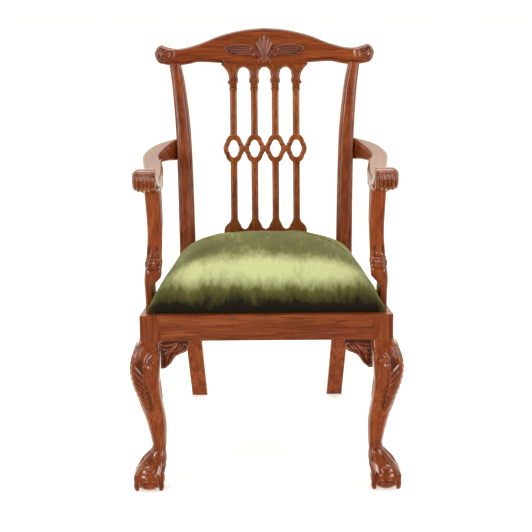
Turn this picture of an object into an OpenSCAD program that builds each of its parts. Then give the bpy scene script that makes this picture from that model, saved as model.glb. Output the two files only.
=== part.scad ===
/* [Seat] */
// Width across the front of the seat rails
seat_w = 584; // [480:1:710]
// Width across the seat rails where they meet the back posts
seat_rear_w = 434; // [400:1:530]
// Depth from the front rail's face to the front of the back posts
seat_d = 432; // [350:1:530]
// Height of the seat rails' top edge above the floor
seat_h = 440; // [360:1:530]
// Height of a seat rail from its bottom edge to its top edge
rail_h = 62; // [51:1:76]
// Thickness of a seat rail
rail_t = 26; // [22:1:32]
// Thickness of the rail's lip outside the drop-in seat
lip_t = 14; // [11:1:17]
// Depth of the rebate that the drop-in seat rests in
rebate_h = 14; // [11:1:17]
// Gap between the drop-in seat and the lip around it
seat_gap = 1.5; // [1:0.25:2.5]
// Height of the stuffed crown above the edge of the seat
crown_h = 95; // [50:1:115]
// Width of the drop-in seat's wooden frame members
member_w = 48; // [38:1:58]
// Thickness of the drop-in seat's wooden frame members
member_t = 18; // [15:1:22]

/* [Back] */
// Height of the crest rail's top above the floor
back_h = 1003; // [840:1:1210]
// Backward lean of the back above the seat, in degrees
back_rake = 11.3; // [8:0.1:14]
// Width of a back post at the seat
post_w = 41; // [35:1:49]
// Depth of a back post at the seat
post_d = 40; // [34:1:48]
// Width of a back post below the crest rail
post_top_w = 29; // [25:1:35]
// Depth of a back post below the crest rail
post_top_d = 27; // [23:1:32]
// Sideways spread of a back post from the seat to the crest rail
post_spread = 20; // [10:1:24]
// Distance that a rear foot stands behind the seat
foot_rake = 146; // [110:1:175]
// Sideways draw of a rear foot towards the middle
foot_draw = 17; // [8:1:20]
// Thickness of the crest rail
crest_t = 27; // [24:1:32]
// Length of a crest ear beyond the back post
ear_reach = 36; // [30:1:43]
// Thickness of the splat
splat_t = 13; // [11:1:15]
// Distance between the middles of two neighbouring splat bars
bar_pitch = 52.4; // [48:0.2:58]
// Width of a splat bar
bar_w = 17.5; // [14:0.5:21]

/* [Arms] */
// Height of the arm's top where it meets the back post
arm_h = 727; // [640:1:860]
// Thickness of the arm at the back post
arm_t = 42; // [35:1:50]
// Diameter of the scroll at the arm's front end
scroll_d = 54; // [45:1:64]
// Width of the scroll
scroll_w = 53; // [44:1:62]
// Distance of the scroll's middle behind the front rail's face
scroll_y = 86; // [72:1:103]
// Distance of an arm support's foot behind the front rail's face
support_y = 70; // [62:1:84]
// Depth of an arm support at its foot
support_d = 50; // [42:1:60]

/* [Front legs] */
// Width of the square block at the top of a front leg
block_w = 47; // [42:1:56]
// Outward reach of the knee beyond the block
knee_out = 23; // [19:1:28]
// Width of the ankle
ankle_w = 35; // [30:1:42]
// Outward reach of the foot beyond the block
foot_out = 26; // [22:1:31]
// Width of the ball and claw foot
foot_w = 74; // [65:1:88]
// Length of a knee bracket under the rail
bracket_l = 66; // [55:1:79]
// Depth of a knee bracket below the rail
bracket_h = 70; // [58:1:80]

/* [Hidden] */
$fn = 48;

mahogany = "#8a3a1c";
beech = "#c9a06a";
steel = "#9a9a9c";
linen = "#b59a70";
velvet = "#6f7c34";

half_w = seat_w / 2;
rear_half = seat_rear_w / 2;
rail_z = seat_h - rail_h;
ledge_z = seat_h - rebate_h;
taper = (half_w - rear_half) / seat_d;
block_in = half_w - block_w;
rear_front_y = seat_d;
post_out = rear_half + 1;
post_in = post_out - post_w;
lean = tan(back_rake);
rear_most = seat_d + foot_rake + post_d - 4;
mid_y = (rear_most - foot_out) / 2;
tenon_t = 9;

// Outer face of the side rail at depth y
function side_x(y) = half_w - taper * y;
// Smooth curve through a few points, n steps between each two
function spline(p, n = 6) = [
    for (i = [0:len(p) - 2])
        let (a = p[max(i - 1, 0)], b = p[i], c = p[i + 1], d = p[min(i + 2, len(p) - 1)])
            for (k = [0:n - 1])
                let (t = k / n)
                    b + 0.5 * t * (c - a + t * (2 * a - 5 * b + 4 * c - d + t * (3 * b - a - 3 * c + d))),
    p[len(p) - 1]];
function flipped(p) = [for (i = [len(p) - 1:-1:0]) p[i]];
function mirrored(p) = [for (q = flipped(p)) [-q[0], q[1]]];

// The working frame has y = 0 at the front rail's face; the part's frame is centred
module placed() { translate([0, -mid_y, 0]) children(); }
module right() { mirror([1, 0, 0]) children(); }
// Draws an outline of x and height over a depth range y0 to y1
module face_on(y0, y1) { translate([0, y1, 0]) rotate([90, 0, 0]) linear_extrude(y1 - y0) children(); }
// Draws an outline of depth and height over a width range x0 to x1
module side_on(x0, x1) {
    translate([x0, 0, 0]) rotate([90, 0, 90]) linear_extrude(x1 - x0) children();
}
// The leaning plane of the back: x across, height along the lean from the rail top
module on_back(d0, d1) {
    translate([0, rear_front_y, seat_h]) rotate([90 - back_rake, 0, 0])
        translate([0, 0, -d1]) linear_extrude(d1 - d0) children();
}
module loft(rings) {
    n = len(rings[0]);
    m = len(rings);
    polyhedron([for (r = rings) each r], concat(
        [[for (j = [0:n - 1]) j]],
        [for (i = [0:m - 2], j = [0:n - 1])
            [i * n + j, (i + 1) * n + j, (i + 1) * n + (j + 1) % n, i * n + (j + 1) % n]],
        [[for (j = [n - 1:-1:0]) (m - 1) * n + j]]));
}

// Back posts -------------------------------------------------------------
lean_len = (back_h - seat_h) / cos(back_rake);
crest_foot_s = lean_len - 92;
crest_foot_z = seat_h + crest_foot_s * cos(back_rake);
post_top_out = post_out + post_spread;

// Side of a back post: the floor, half leg height, rail, seat, and the upper post by shares of its flare
function post_edge(x, flare) = [[x - foot_draw, -1], [x - 0.5 * foot_draw, 0.5 * rail_z],
    [x, rail_z], [x, seat_h], [x + 0.22 * flare, seat_h + 0.58 * (crest_foot_z - seat_h)],
    [x + 0.6 * flare, seat_h + 0.86 * (crest_foot_z - seat_h)], [x + flare, crest_foot_z + 1]];
post_outer = post_edge(post_out, post_spread);
post_inner = post_edge(post_in, post_spread + post_w - post_top_w);
function edge_x(edge, z) = lookup(z, [for (q = edge) [q[1], q[0]]]);
function post_front_y(z) = rear_front_y + max(0, z - seat_h) * lean;

module post_front_outline() { polygon(concat(spline(post_outer, 5), flipped(spline(post_inner, 5)))); }
module post_side_outline() {
    front = spline([[seat_d + foot_rake, 0], [seat_d + 0.32 * foot_rake, 0.52 * rail_z],
        [seat_d, rail_z + 8]], 7);
    back = spline([[rear_most, 0], [seat_d + post_d + 0.32 * foot_rake, 0.5 * rail_z],
        [seat_d + post_d, rail_z + 8]], 7);
    top_y = seat_d + crest_foot_s * sin(back_rake);
    polygon(concat(front, [[seat_d, seat_h], [top_y, crest_foot_z],
        [top_y + post_top_d * cos(back_rake), crest_foot_z - post_top_d * sin(back_rake)],
        [seat_d + post_d, seat_h]], flipped(back)));
}
module post_solid() {
    intersection() {
        face_on(seat_d - 20, rear_most + 20) post_front_outline();
        side_on(0, half_w + 60) post_side_outline();
    }
}
module crest_tenon(gap = 0) {
    mid = post_top_out - post_top_w / 2;
    on_back(8 - gap, 18 + gap) translate([mid - 8 - gap, crest_foot_s - 0.5])
        square([16 + 2 * gap, 28.5 + gap]);
}
module back_post() {
    color(mahogany) difference() {
        union() {
            post_solid();
            crest_tenon();
        }
        side_rail_rear_tenon();
        rear_rail_tenon();
        arm_screw();
        arm_plug();
    }
}

// Crest rail and splat ---------------------------------------------------
ear_x = post_top_out + ear_reach;
splat_half = 1.5 * bar_pitch + bar_w / 2;
shoe_top_s = 38;

module crest_outline() {
    top_edge = spline([[0, lean_len], [0.2 * ear_x, lean_len - 5], [0.4 * ear_x, lean_len - 18],
        [0.59 * ear_x, lean_len - 38], [0.77 * ear_x, lean_len - 50],
        [0.9 * ear_x, lean_len - 43]], 6);
    ear = [for (a = [70:-20:-70]) [ear_x - 23 + 23 * cos(a), lean_len - 61 + 22 * sin(a)]];
    post_foot = [[post_top_out + 1, crest_foot_s], [post_top_out - post_top_w - 1, crest_foot_s]];
    under = spline([[post_top_out - post_top_w - 1, crest_foot_s],
        [0.59 * ear_x, crest_foot_s + 11], [splat_half + 22, crest_foot_s + 6]], 5);
    half = concat(top_edge, ear, post_foot, [for (i = [1:len(under) - 1]) under[i]],
        [[splat_half + 12, crest_foot_s + 2]]);
    polygon(concat(half, [for (q = mirrored(half)) if (q[0] != 0) q]));
}
module splat_tongue(gap = 0) {
    on_back(3 - gap, splat_t - 1 + gap) translate([-splat_half + 2 - gap, crest_foot_s + 1])
        square([2 * (splat_half - 2 + gap), 16 + gap]);
}
module crest_rail() {
    color(mahogany) difference() {
        on_back(0, crest_t) crest_outline();
        crest_tenon();
        right() crest_tenon();
        splat_tongue();
        splat_plate_cut();
    }
}

ring_s = shoe_top_s + 0.53 * (crest_foot_s - shoe_top_s);
ring_w = bar_pitch;
ring_h = 72;
gap_half = (bar_pitch - bar_w) / 2;

// Half outline of an opening between two bars above the rings, ending in a round arch
function upper_gap() = concat(
    [[0, ring_s + 13], [0.45 * gap_half, ring_s + 0.36 * ring_h], [gap_half, ring_s + 0.52 * ring_h],
     [gap_half, crest_foot_s - 68], [gap_half - 1.5, crest_foot_s - 65],
     [gap_half + 1.5, crest_foot_s - 60], [gap_half, crest_foot_s - 51],
     [gap_half - 5, crest_foot_s - 45], [gap_half - 2.5, crest_foot_s - 42]],
    [for (a = [0:15:90]) [(gap_half - 2.5) * cos(a), crest_foot_s - 29 + 18 * sin(a)]]);
// Half outline of an opening between two bars below the rings, ending in a round notch
function lower_gap() = concat(
    [for (a = [-90:30:0]) [0.35 * gap_half * cos(a), shoe_top_s + 37 + 6 * sin(a)]],
    [[0.62 * gap_half, shoe_top_s + 46], [gap_half, shoe_top_s + 57],
     [gap_half, ring_s - 0.5 * ring_h], [0.5 * gap_half, ring_s - 0.34 * ring_h],
     [0, ring_s - 12]]);
module gap_outline(half) { polygon(concat(half, mirrored(half))); }

module splat_edge() {
    x = 1.5 * bar_pitch;
    half = [[x + 26, shoe_top_s - 12], [x + 26, shoe_top_s + 32], [x + 22, shoe_top_s + 41],
        [x + 13, shoe_top_s + 50], [x + bar_w / 2, shoe_top_s + 60],
        [x + bar_w / 2, ring_s - 0.5 * ring_h], [x + 18, ring_s - 0.38 * ring_h],
        [x + ring_w / 2, ring_s - 9], [x + ring_w / 2, ring_s + 9],
        [x + 18, ring_s + 0.38 * ring_h], [x + bar_w / 2, ring_s + 0.5 * ring_h],
        [x + bar_w / 2, crest_foot_s - 68], [x + bar_w / 2 + 1.5, crest_foot_s - 65],
        [x + bar_w / 2 - 1.5, crest_foot_s - 60], [x + bar_w / 2, crest_foot_s - 51],
        [x + bar_w / 2 + 5, crest_foot_s - 45], [x + bar_w / 2 + 2.5, crest_foot_s - 42],
        [x + bar_w / 2 + 3, crest_foot_s - 28], [x + bar_w / 2 + 8, crest_foot_s - 12],
        [x + bar_w / 2 + 20, crest_foot_s + 4]];
    polygon(concat(half, mirrored(half)));
}
module splat_openings() {
    for (i = [-1:1]) translate([i * bar_pitch, 0]) {
        gap_outline(upper_gap());
        gap_outline(lower_gap());
    }
    for (i = [-1.5:1:1.5]) translate([i * bar_pitch, ring_s]) {
        circle(r = 13.4);
        for (side = [-1, 1]) translate([0, side * 13.5]) circle(r = 9);
        for (sx = [-1, 1], sy = [-1, 1]) translate([sx * 16.6, sy * 16.5]) circle(r = 2.4, $fn = 16);
    }
}
// Room for the splat's front face where its flared head runs behind the crest's lower edge
module splat_plate_cut() { on_back(0, splat_t) splat_edge(); }
module splat() {
    color(mahogany) {
        on_back(0, splat_t) difference() {
            splat_edge();
            splat_openings();
        }
        splat_tongue();
    }
}
shoe_back_y = rear_front_y + 26;
module splat_shoe() {
    color(mahogany) difference() {
        side_on(-post_in, post_in) polygon([[rear_front_y + 1, seat_h], [rear_front_y + 1, seat_h + 12],
            [rear_front_y + 4, seat_h + 20], [rear_front_y + 6, seat_h + 33],
            [shoe_back_y - 4, seat_h + 33], [shoe_back_y - 2, seat_h + 12], [shoe_back_y, seat_h]]);
        on_back(0, splat_t) splat_edge();
        both() post_solid();
    }
}

// Seat rails ---------------------------------------------------------------
tenon_z = rail_z + 8;
tenon_h = ledge_z - tenon_z - 8;
rear_rail_y = rear_front_y + 1;
rear_rail_t = 25;

// Plan outline of the drop-in seat's well, set in from the lip by a distance
function well(inset) = [
    [side_x(lip_t + inset) - lip_t - inset, lip_t + inset],
    [side_x(seat_d - inset) - lip_t - inset, seat_d - inset],
    [-side_x(seat_d - inset) + lip_t + inset, seat_d - inset],
    [-side_x(lip_t + inset) + lip_t + inset, lip_t + inset]];
module well_cut() { translate([0, 0, ledge_z]) linear_extrude(rebate_h + 1) polygon(well(0)); }

module front_rail_tenon() {
    translate([block_in - 1, 9, tenon_z]) cube([19, tenon_t, tenon_h]);
}
module front_rail() {
    color(mahogany) difference() {
        union() {
            translate([-block_in, 0, rail_z]) cube([2 * block_in, rail_t, rail_h]);
            front_rail_tenon();
            right() front_rail_tenon();
        }
        well_cut();
        front_block_screws();
        right() front_block_screws();
    }
}
module rear_rail_tenon() {
    translate([post_in - 1, rear_rail_y + 8, tenon_z]) cube([19, tenon_t, tenon_h]);
}
module rear_rail() {
    color(mahogany) difference() {
        union() {
            difference() {
                translate([-post_in, rear_rail_y, rail_z]) cube([2 * post_in, rear_rail_t, rail_h]);
                both() post_solid();
            }
            rear_rail_tenon();
            right() rear_rail_tenon();
        }
        rear_block_screws();
        right() rear_block_screws();
        ledge_screw_row();
    }
}
module rear_seat_ledge() {
    color(beech) difference() {
        linear_ledge();
        ledge_screw_row();
    }
}
module linear_ledge() {
    translate([0, 0, ledge_z - 22]) linear_extrude(22) polygon([
        [side_x(seat_d - 14) - rail_t - 1, seat_d - 13], [post_in - 2, rear_rail_y],
        [-post_in + 2, rear_rail_y], [-side_x(seat_d - 14) + rail_t + 1, seat_d - 13]]);
}
module side_rail_front_tenon() {
    translate([side_x(block_w) - rail_t / 2 - tenon_t / 2 - 1, block_w - 21, tenon_z])
        cube([tenon_t, 22, tenon_h]);
}
module side_rail_rear_tenon() {
    translate([side_x(seat_d) - 8 - tenon_t, seat_d - 1, tenon_z]) cube([tenon_t, 23, tenon_h]);
}
module side_rail() {
    color(mahogany) difference() {
        union() {
            translate([0, 0, rail_z]) linear_extrude(rail_h) polygon([
                [side_x(block_w), block_w], [side_x(seat_d), seat_d],
                [side_x(seat_d) - rail_t, seat_d], [side_x(block_w) - rail_t, block_w]]);
            side_rail_front_tenon();
            side_rail_rear_tenon();
        }
        well_cut();
        front_block_screws();
        rear_block_screws();
        support_screws();
    }
}

// Front legs ---------------------------------------------------------------
// Each ring is [height, reach beyond the block, inner face beyond the block's, corner roundness]
ankle_z = 0.26 * rail_z;
ankle_in = (block_w - ankle_w) / 2;
leg_rings = spline([
    [0, foot_out - 14, 12, 0.9], [8, foot_out - 3, 2, 0.9], [20, foot_out, block_w - foot_w + foot_out, 0.75],
    [42, foot_out - 5, block_w - foot_w + foot_out + 1, 0.7], [62, 4, -4, 0.8],
    [0.22 * rail_z, -14, -4, 0.95], [ankle_z + 12, -ankle_in - 12, ankle_in - 12, 1],
    [0.44 * rail_z, -10, -5, 0.85], [0.6 * rail_z, 0.35 * knee_out, 2, 0.5],
    [0.73 * rail_z, 0.93 * knee_out, 4, 0.32], [0.84 * rail_z, knee_out, 2, 0.28],
    [0.93 * rail_z, 0.6 * knee_out, 1, 0.25], [rail_z, 1, 0.5, 0.22]], 3);
// A square ring about the leg's diagonal with corners rounded by a share of its half width
function leg_ring(r) =
    let (lo = block_in + r[2], hi = half_w + r[1], c = (lo + hi) / 2, h = (hi - lo) / 2, k = r[3] * h)
        [for (q = [0:3], a = [0:22.5:90])
            let (dir = [[1, 1], [-1, 1], [-1, -1], [1, -1]][q], b = a + 90 * q)
                [c + dir[0] * (h - k) + k * cos(b), half_w - c + dir[1] * (h - k) + k * sin(b), r[0]]];
module front_leg() {
    color(mahogany) difference() {
        union() {
            loft([for (r = leg_rings) leg_ring(r)]);
            translate([0, 0, rail_z - bracket_h]) linear_extrude(bracket_h)
                polygon([[block_in, block_w], [block_in, 10], [half_w - 8, 10], [half_w - 8, block_w]]);
            translate([0, 0, rail_z - 0.5]) linear_extrude(rail_h + 0.5)
                polygon([[block_in, 0], [half_w, 0], [side_x(block_w), block_w], [block_in, block_w]]);
        }
        well_cut();
        front_rail_tenon();
        side_rail_front_tenon();
    }
}
// Bracket outline from the leg's block outwards, under the rail
module bracket_outline() {
    lower = spline([[0, -bracket_h], [9, -bracket_h + 1], [22, -bracket_h + 12], [36, -0.56 * bracket_h],
        [bracket_l - 8, -0.4 * bracket_h], [bracket_l, -0.24 * bracket_h], [bracket_l - 3, 0]], 5);
    polygon(concat([[0, 0]], lower));
}
module front_bracket() {
    color(mahogany) translate([block_in, 0, rail_z]) mirror([1, 0, 0])
        face_on(0, rail_t) bracket_outline();
}
module side_bracket() {
    angle = atan(taper);
    color(mahogany) difference() {
        translate([side_x(block_w), block_w, rail_z]) rotate([0, 0, 90 + angle])
            translate([-rail_t * 0.2, 0, 0]) face_on(0, rail_t) translate([rail_t * 0.2, 0]) bracket_outline();
        translate([0, block_w - 60, 0]) cube([half_w + 50, 60, seat_h]);
    }
}

// Arms -----------------------------------------------------------------------
scroll_z = arm_h + 11;
arm_post_y = post_front_y(arm_h) + 20;
// Middle of the scroll across the chair
scroll_x = side_x(scroll_y) + 0.5;
arm_post_x = edge_x(post_outer, arm_h);
arm_post_in = edge_x(post_inner, arm_h - arm_t / 2);
// A point on the arm: share of the way from scroll to post, and offset across
function on_arm(t, off) = [scroll_x + t * (arm_post_x - scroll_x) + off,
    scroll_y + t * (arm_post_y - scroll_y)];

module arm_plan() {
    outer = spline([on_arm(0.08, scroll_w / 2), on_arm(0.17, 16), on_arm(0.33, 35), on_arm(0.5, 51),
        on_arm(0.62, 57), on_arm(0.74, 53), on_arm(0.88, 34), on_arm(1.04, -3)], 6);
    inner = spline([on_arm(0.97, -8), on_arm(0.9, 8), on_arm(0.8, 15), on_arm(0.66, 17),
        on_arm(0.54, 6), on_arm(0.4, -6), on_arm(0.22, -22), on_arm(0.08, -scroll_w / 2)], 6);
    polygon(concat([[scroll_x - scroll_w / 2, scroll_y - scroll_d], [scroll_x + scroll_w / 2,
        scroll_y - scroll_d]], outer, inner));
}
module arm_profile() {
    top = spline([[scroll_y, scroll_z + scroll_d / 2], [scroll_y + 22, scroll_z + scroll_d / 2 - 10],
        [scroll_y + 64, arm_h - 6], [scroll_y + 130, arm_h - 10],
        [0.4 * scroll_y + 0.6 * arm_post_y, arm_h - 8], [arm_post_y + 30, arm_h + 2]], 6);
    under = spline([[arm_post_y + 30, arm_h - arm_t + 2], [0.4 * scroll_y + 0.6 * arm_post_y, arm_h - 46],
        [scroll_y + 130, arm_h - 42], [scroll_y + 60, arm_h - 38],
        [scroll_y + 0.4 * scroll_d, scroll_z - 0.3 * scroll_d]], 6);
    // the round of the scroll, from below up over its front
    scroll = [for (a = [-50:-15:-260])
        [scroll_y + scroll_d / 2 * cos(a), scroll_z + scroll_d / 2 * sin(a)]];
    polygon(concat(top, under, scroll));
}
module arm_solid() {
    intersection() {
        translate([0, 0, arm_h - 80]) linear_extrude(160) arm_plan();
        side_on(0, half_w + 60) arm_profile();
    }
}
module arm() {
    color(mahogany) difference() {
        arm_solid();
        post_solid();
        support_dowel();
        arm_screw();
    }
}
support_top = arm_h - 24;
// Height of the notch that lets the seat rise past the arm supports
lift_room = rebate_h + 39;
module support_solid() {
    h = support_top - seat_h;
    outer_x = side_x(support_y + support_d / 2) + 7;
    outer = spline([[outer_x - 1, rail_z + 14], [outer_x, seat_h + 0.1 * h], [outer_x + 1, seat_h + 0.24 * h],
        [outer_x - 4, seat_h + 0.42 * h], [outer_x - 6, seat_h + 0.66 * h], [outer_x, support_top + 1]], 5);
    inner = spline([[outer_x - 36, support_top + 1], [outer_x - 40, seat_h + 0.72 * h],
        [outer_x - 40, seat_h + 0.44 * h], [outer_x - 38, seat_h + 0.31 * h],
        [outer_x - 25, seat_h + 0.21 * h], [outer_x - 24, seat_h + 0.1 * h]], 5);
    front = spline([[support_y + 6, rail_z + 14], [support_y, seat_h], [support_y - 3, seat_h + 0.25 * h],
        [support_y + 14, seat_h + 0.6 * h], [support_y + 26, support_top + 1]], 5);
    back = spline([[support_y + support_d + 44, support_top + 1],
        [support_y + support_d + 8, seat_h + 0.6 * h], [support_y + support_d - 8, seat_h + 0.25 * h],
        [support_y + support_d, seat_h], [support_y + support_d - 6, rail_z + 14]], 5);
    intersection() {
        face_on(0, seat_d) polygon(concat(outer, inner, [[outer_x - 24, rail_z + 14]]));
        side_on(0, half_w + 60) polygon(concat(front, back));
    }
}
module support_dowel() {
    translate([side_x(support_y + support_d / 2) - 13, support_y + support_d / 2 + 34, support_top - 20])
        cylinder(d = 14, h = 34);
}
module arm_support() {
    color(mahogany) difference() {
        union() {
            difference() {
                support_solid();
                arm_solid();
            }
            support_dowel();
        }
        // notched over the rail and around the drop-in seat
        translate([0, 0, rail_z]) linear_extrude(rail_h) polygon([[0, 0], [half_w, 0],
            [side_x(seat_d), seat_d], [0, seat_d]]);
        translate([0, 0, seat_h - 1]) linear_extrude(lift_room) polygon(well(-0.5));
        support_screws();
    }
}

// Corner blocks and screws ---------------------------------------------------
corner_z = rail_z + 6;
corner_h = ledge_z - corner_z - 8;
// The front corner blocks stop this short of the arm supports' screw heads
screw_head = 8;
support_screw_y = support_y + 26;
block_screw_gap = 3;
front_corner_l = support_screw_y - screw_head / 2 - block_screw_gap - block_w;
module screw(l, d, head) {
    cylinder(d = d, h = l);
    cylinder(d1 = head, d2 = d, h = (head - d) / 2);
}
module front_corner_block() {
    color(beech) difference() {
        translate([0, 0, corner_z]) linear_extrude(corner_h) polygon([
            [block_in - front_corner_l, rail_t], [block_in, rail_t], [block_in, block_w],
            [side_x(block_w) - rail_t, block_w],
            [side_x(block_w + front_corner_l) - rail_t, block_w + front_corner_l]]);
        front_block_screws();
    }
}
module rear_corner_block() {
    color(beech) difference() {
        translate([0, 0, corner_z]) linear_extrude(corner_h - 20) polygon([
            [side_x(seat_d) - rail_t, seat_d], [side_x(seat_d - 60) - rail_t, seat_d - 60],
            [side_x(seat_d) - rail_t - 62, seat_d], [side_x(seat_d) - rail_t - 62, rear_rail_y],
            [post_in, rear_rail_y], [post_in, seat_d]]);
        rear_block_screws();
    }
}
module front_block_screws() {
    z = corner_z + corner_h / 2;
    translate([block_in - front_corner_l + 16, 46, z]) rotate([90, 0, 0]) screw(36, 4, 8);
    translate([side_x(block_w + front_corner_l - 18) - rail_t - 22, block_w + front_corner_l - 18, z - 8]) rotate([0, 90, 0]) screw(36, 4, 8);
}
module rear_block_screws() {
    z = corner_z + corner_h / 2 - 10;
    translate([post_in - 34, seat_d - 16, z + 4]) rotate([-90, 0, 0]) screw(32, 4, 8);
    translate([side_x(seat_d - 24) - rail_t - 20, seat_d - 24, z - 4]) rotate([0, 90, 0]) screw(32, 4, 8);
}
module support_screws() {
    for (z = [rail_z + 22, seat_h - 26])
        translate([side_x(support_screw_y) - rail_t, support_screw_y, z]) rotate([0, 90, 0]) screw(33, 4, screw_head);
}
module arm_screw() {
    z = arm_h - arm_t / 2;
    translate([arm_post_in + 8, arm_post_y - 6, z]) rotate([0, 90, 0]) screw(48, 4.5, 9);
}
module arm_plug() {
    z = arm_h - arm_t / 2;
    translate([arm_post_in - 6, arm_post_y - 6, z]) rotate([0, 90, 0]) cylinder(d = 9, h = 14);
}
module ledge_screw_row() {
    for (x = [-120, -40, 40, 120])
        translate([x, seat_d - 13, ledge_z - 11]) rotate([-90, 0, 0]) screw(30, 3.5, 7);
}
module both() {
    children();
    right() children();
}
module corner_block_screws() {
    color(steel) both() {
        front_block_screws();
        rear_block_screws();
    }
}
module arm_support_screws() { color(steel) both() support_screws(); }
module arm_screws() { color(steel) both() arm_screw(); }
module arm_screw_plugs() {
    color(mahogany) both() intersection() {
        arm_plug();
        post_solid();
    }
}
module ledge_screws() { color(steel) ledge_screw_row(); }

// Drop-in seat -----------------------------------------------------------------
cloth = 1.2;
member_z = ledge_z + cloth;
member_top = member_z + member_t;
web_t = 1.2;
web_w = 50;
hessian_t = 0.8;
stuffing_z = member_top + 2 * web_t + hessian_t;
edge_z = seat_h + 12;
crown_steps = 16;

function seat_plan(inset) = well(seat_gap + inset);
module seat_slab(inset, z, t) { translate([0, 0, z]) linear_extrude(t) polygon(seat_plan(inset)); }

// A closed pillow: flat below, upright edge, and a crown that falls away at all four sides
function crown(u, v) = sqrt((1 - pow(abs(u), 3)) * (1 - pow(abs(v), 3)));
function pillow_row(inset, z, i) =
    let (v = sin(90 * (2 * i / crown_steps - 1)), p = seat_plan(inset),
         y = p[0][1] + (v + 1) / 2 * (p[1][1] - p[0][1]), w = side_x(y) - lip_t - seat_gap - inset)
        [for (j = [0:crown_steps])
            let (u = sin(90 * (2 * j / crown_steps - 1)))
                [u * w, y, z + crown_h * crown(u, v)]];
n_top = crown_steps + 1;
function pillow_top(inset, z) = [for (i = [0:crown_steps]) each pillow_row(inset, z, i)];
// Indices of the grid's edge points, round the seat
rim = concat([for (j = [0:n_top - 1]) j], [for (i = [1:n_top - 1]) i * n_top + n_top - 1],
    [for (j = [n_top - 2:-1:0]) (n_top - 1) * n_top + j], [for (i = [n_top - 2:-1:1]) i * n_top]);
m_rim = len(rim);
function at_height(pts, z) = [for (k = rim) [pts[k][0], pts[k][1], z]];
function grid_faces(base) = [for (i = [0:n_top - 2], j = [0:n_top - 2])
    let (k = base + i * n_top + j) [k, k + n_top, k + n_top + 1, k + 1]];
function turned(faces) = [for (f = faces) [f[3], f[2], f[1], f[0]]];
function band(a, b) = [for (k = [0:m_rim - 1]) [a[k], a[(k + 1) % m_rim], b[(k + 1) % m_rim], b[k]]];
function run(base) = [for (k = [0:m_rim - 1]) base + k];

module pillow(inset, z0, z1) {
    top = pillow_top(inset, z1);
    base = n_top * n_top;
    middle = base + m_rim;
    polyhedron(concat(top, at_height(top, z0), [[0, seat_d / 2, z0]]),
        concat(grid_faces(0), band(rim, run(base)),
            [for (k = [0:m_rim - 1]) [base + k, base + (k + 1) % m_rim, middle]]));
}
// Cover: outer skin, its turned-under hem below the frame, and the inner skin
module cover_shell(hem) {
    outer = pillow_top(0, edge_z);
    inner = pillow_top(cloth, edge_z - cloth);
    edge = pillow_top(hem, edge_z);
    g = n_top * n_top;
    points = concat(outer, inner, at_height(outer, ledge_z), at_height(edge, ledge_z),
        at_height(edge, member_z), at_height(inner, member_z));
    inner_rim = [for (k = rim) g + k];
    polyhedron(points, concat(grid_faces(0), turned(grid_faces(g)),
        band(rim, run(2 * g)), band(run(2 * g), run(2 * g + m_rim)),
        band(run(2 * g + m_rim), run(2 * g + 2 * m_rim)),
        band(run(2 * g + 2 * m_rim), run(2 * g + 3 * m_rim)),
        band(run(2 * g + 3 * m_rim), inner_rim)));
}
module velvet_cover() { color(velvet) cover_shell(30); }
// The stuffing ends this short of the cloth over it
stuffing_ease = 1;
module stuffing() {
    color(linen) pillow(cloth + stuffing_ease, stuffing_z, edge_z - cloth - 1.8 * stuffing_ease);
}
module hessian() { color(linen) seat_slab(cloth + 3, member_top + 2 * web_t, hessian_t); }

strap_reach = 10;
module web_clip() { seat_slab(strap_reach, member_top, 2 * web_t); }
module lengthwise_webbing() {
    color(linen) intersection() {
        web_clip();
        for (x = [-117, -39, 39, 117])
            translate([x - web_w / 2, 0, member_top]) cube([web_w, seat_d, web_t]);
    }
}
module crosswise_webbing() {
    color(linen) intersection() {
        web_clip();
        for (k = [0.25, 0.5, 0.75])
            translate([-half_w, k * seat_d - web_w / 2, member_top + web_t]) cube([seat_w, web_w, web_t]);
    }
}
module end_member(y0, y1) {
    intersection() {
        seat_slab(cloth, member_z, member_t);
        translate([-half_w, y0, 0]) cube([seat_w, y1 - y0, back_h]);
    }
}
front_member_y = lip_t + seat_gap + cloth + member_w;
back_member_y = seat_d - seat_gap - cloth - member_w;
module side_member_tenons() {
    for (y = [front_member_y - 22, back_member_y - 1])
        translate([side_x(y + 11) - lip_t - 38, y, member_z + member_t / 3]) cube([24, 23, member_t / 3]);
}
module seat_front_member() {
    color(beech) difference() {
        end_member(0, front_member_y);
        both() side_member_tenons();
    }
}
module seat_back_member() {
    color(beech) difference() {
        end_member(back_member_y, seat_d);
        both() side_member_tenons();
    }
}
module seat_side_member() {
    edge = lip_t + seat_gap + cloth;
    color(beech) union() {
        translate([0, 0, member_z]) linear_extrude(member_t) polygon([
            [side_x(front_member_y) - edge, front_member_y], [side_x(back_member_y) - edge, back_member_y],
            [side_x(back_member_y) - edge - member_w, back_member_y],
            [side_x(front_member_y) - edge - member_w, front_member_y]]);
        side_member_tenons();
    }
}
module dust_cover() {
    color("#2a2826") difference() {
        seat_slab(16, ledge_z - 0.8, 0.8);
        both() translate([block_in - 3, 0, 0]) cube([half_w, block_w + 3, back_h]);
    }
}
module tack() {
    translate([0, 0, -0.8]) cylinder(d = 6, h = 0.8);
    cylinder(d = 1.6, h = 9);
}
module cover_tacks() {
    y0 = lip_t + seat_gap + 22;
    y1 = seat_d - seat_gap - 22;
    color(steel) {
        for (x = [-200:50:200]) translate([x, y0, ledge_z - 0.8]) tack();
        for (x = [-150:50:150]) translate([x, y1, ledge_z - 0.8]) tack();
        for (k = [1:6]) both() {
            y = y0 + k * (y1 - y0) / 7;
            translate([side_x(y) - lip_t - seat_gap - 22, y, ledge_z - 0.8]) tack();
        }
    }
}

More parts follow.
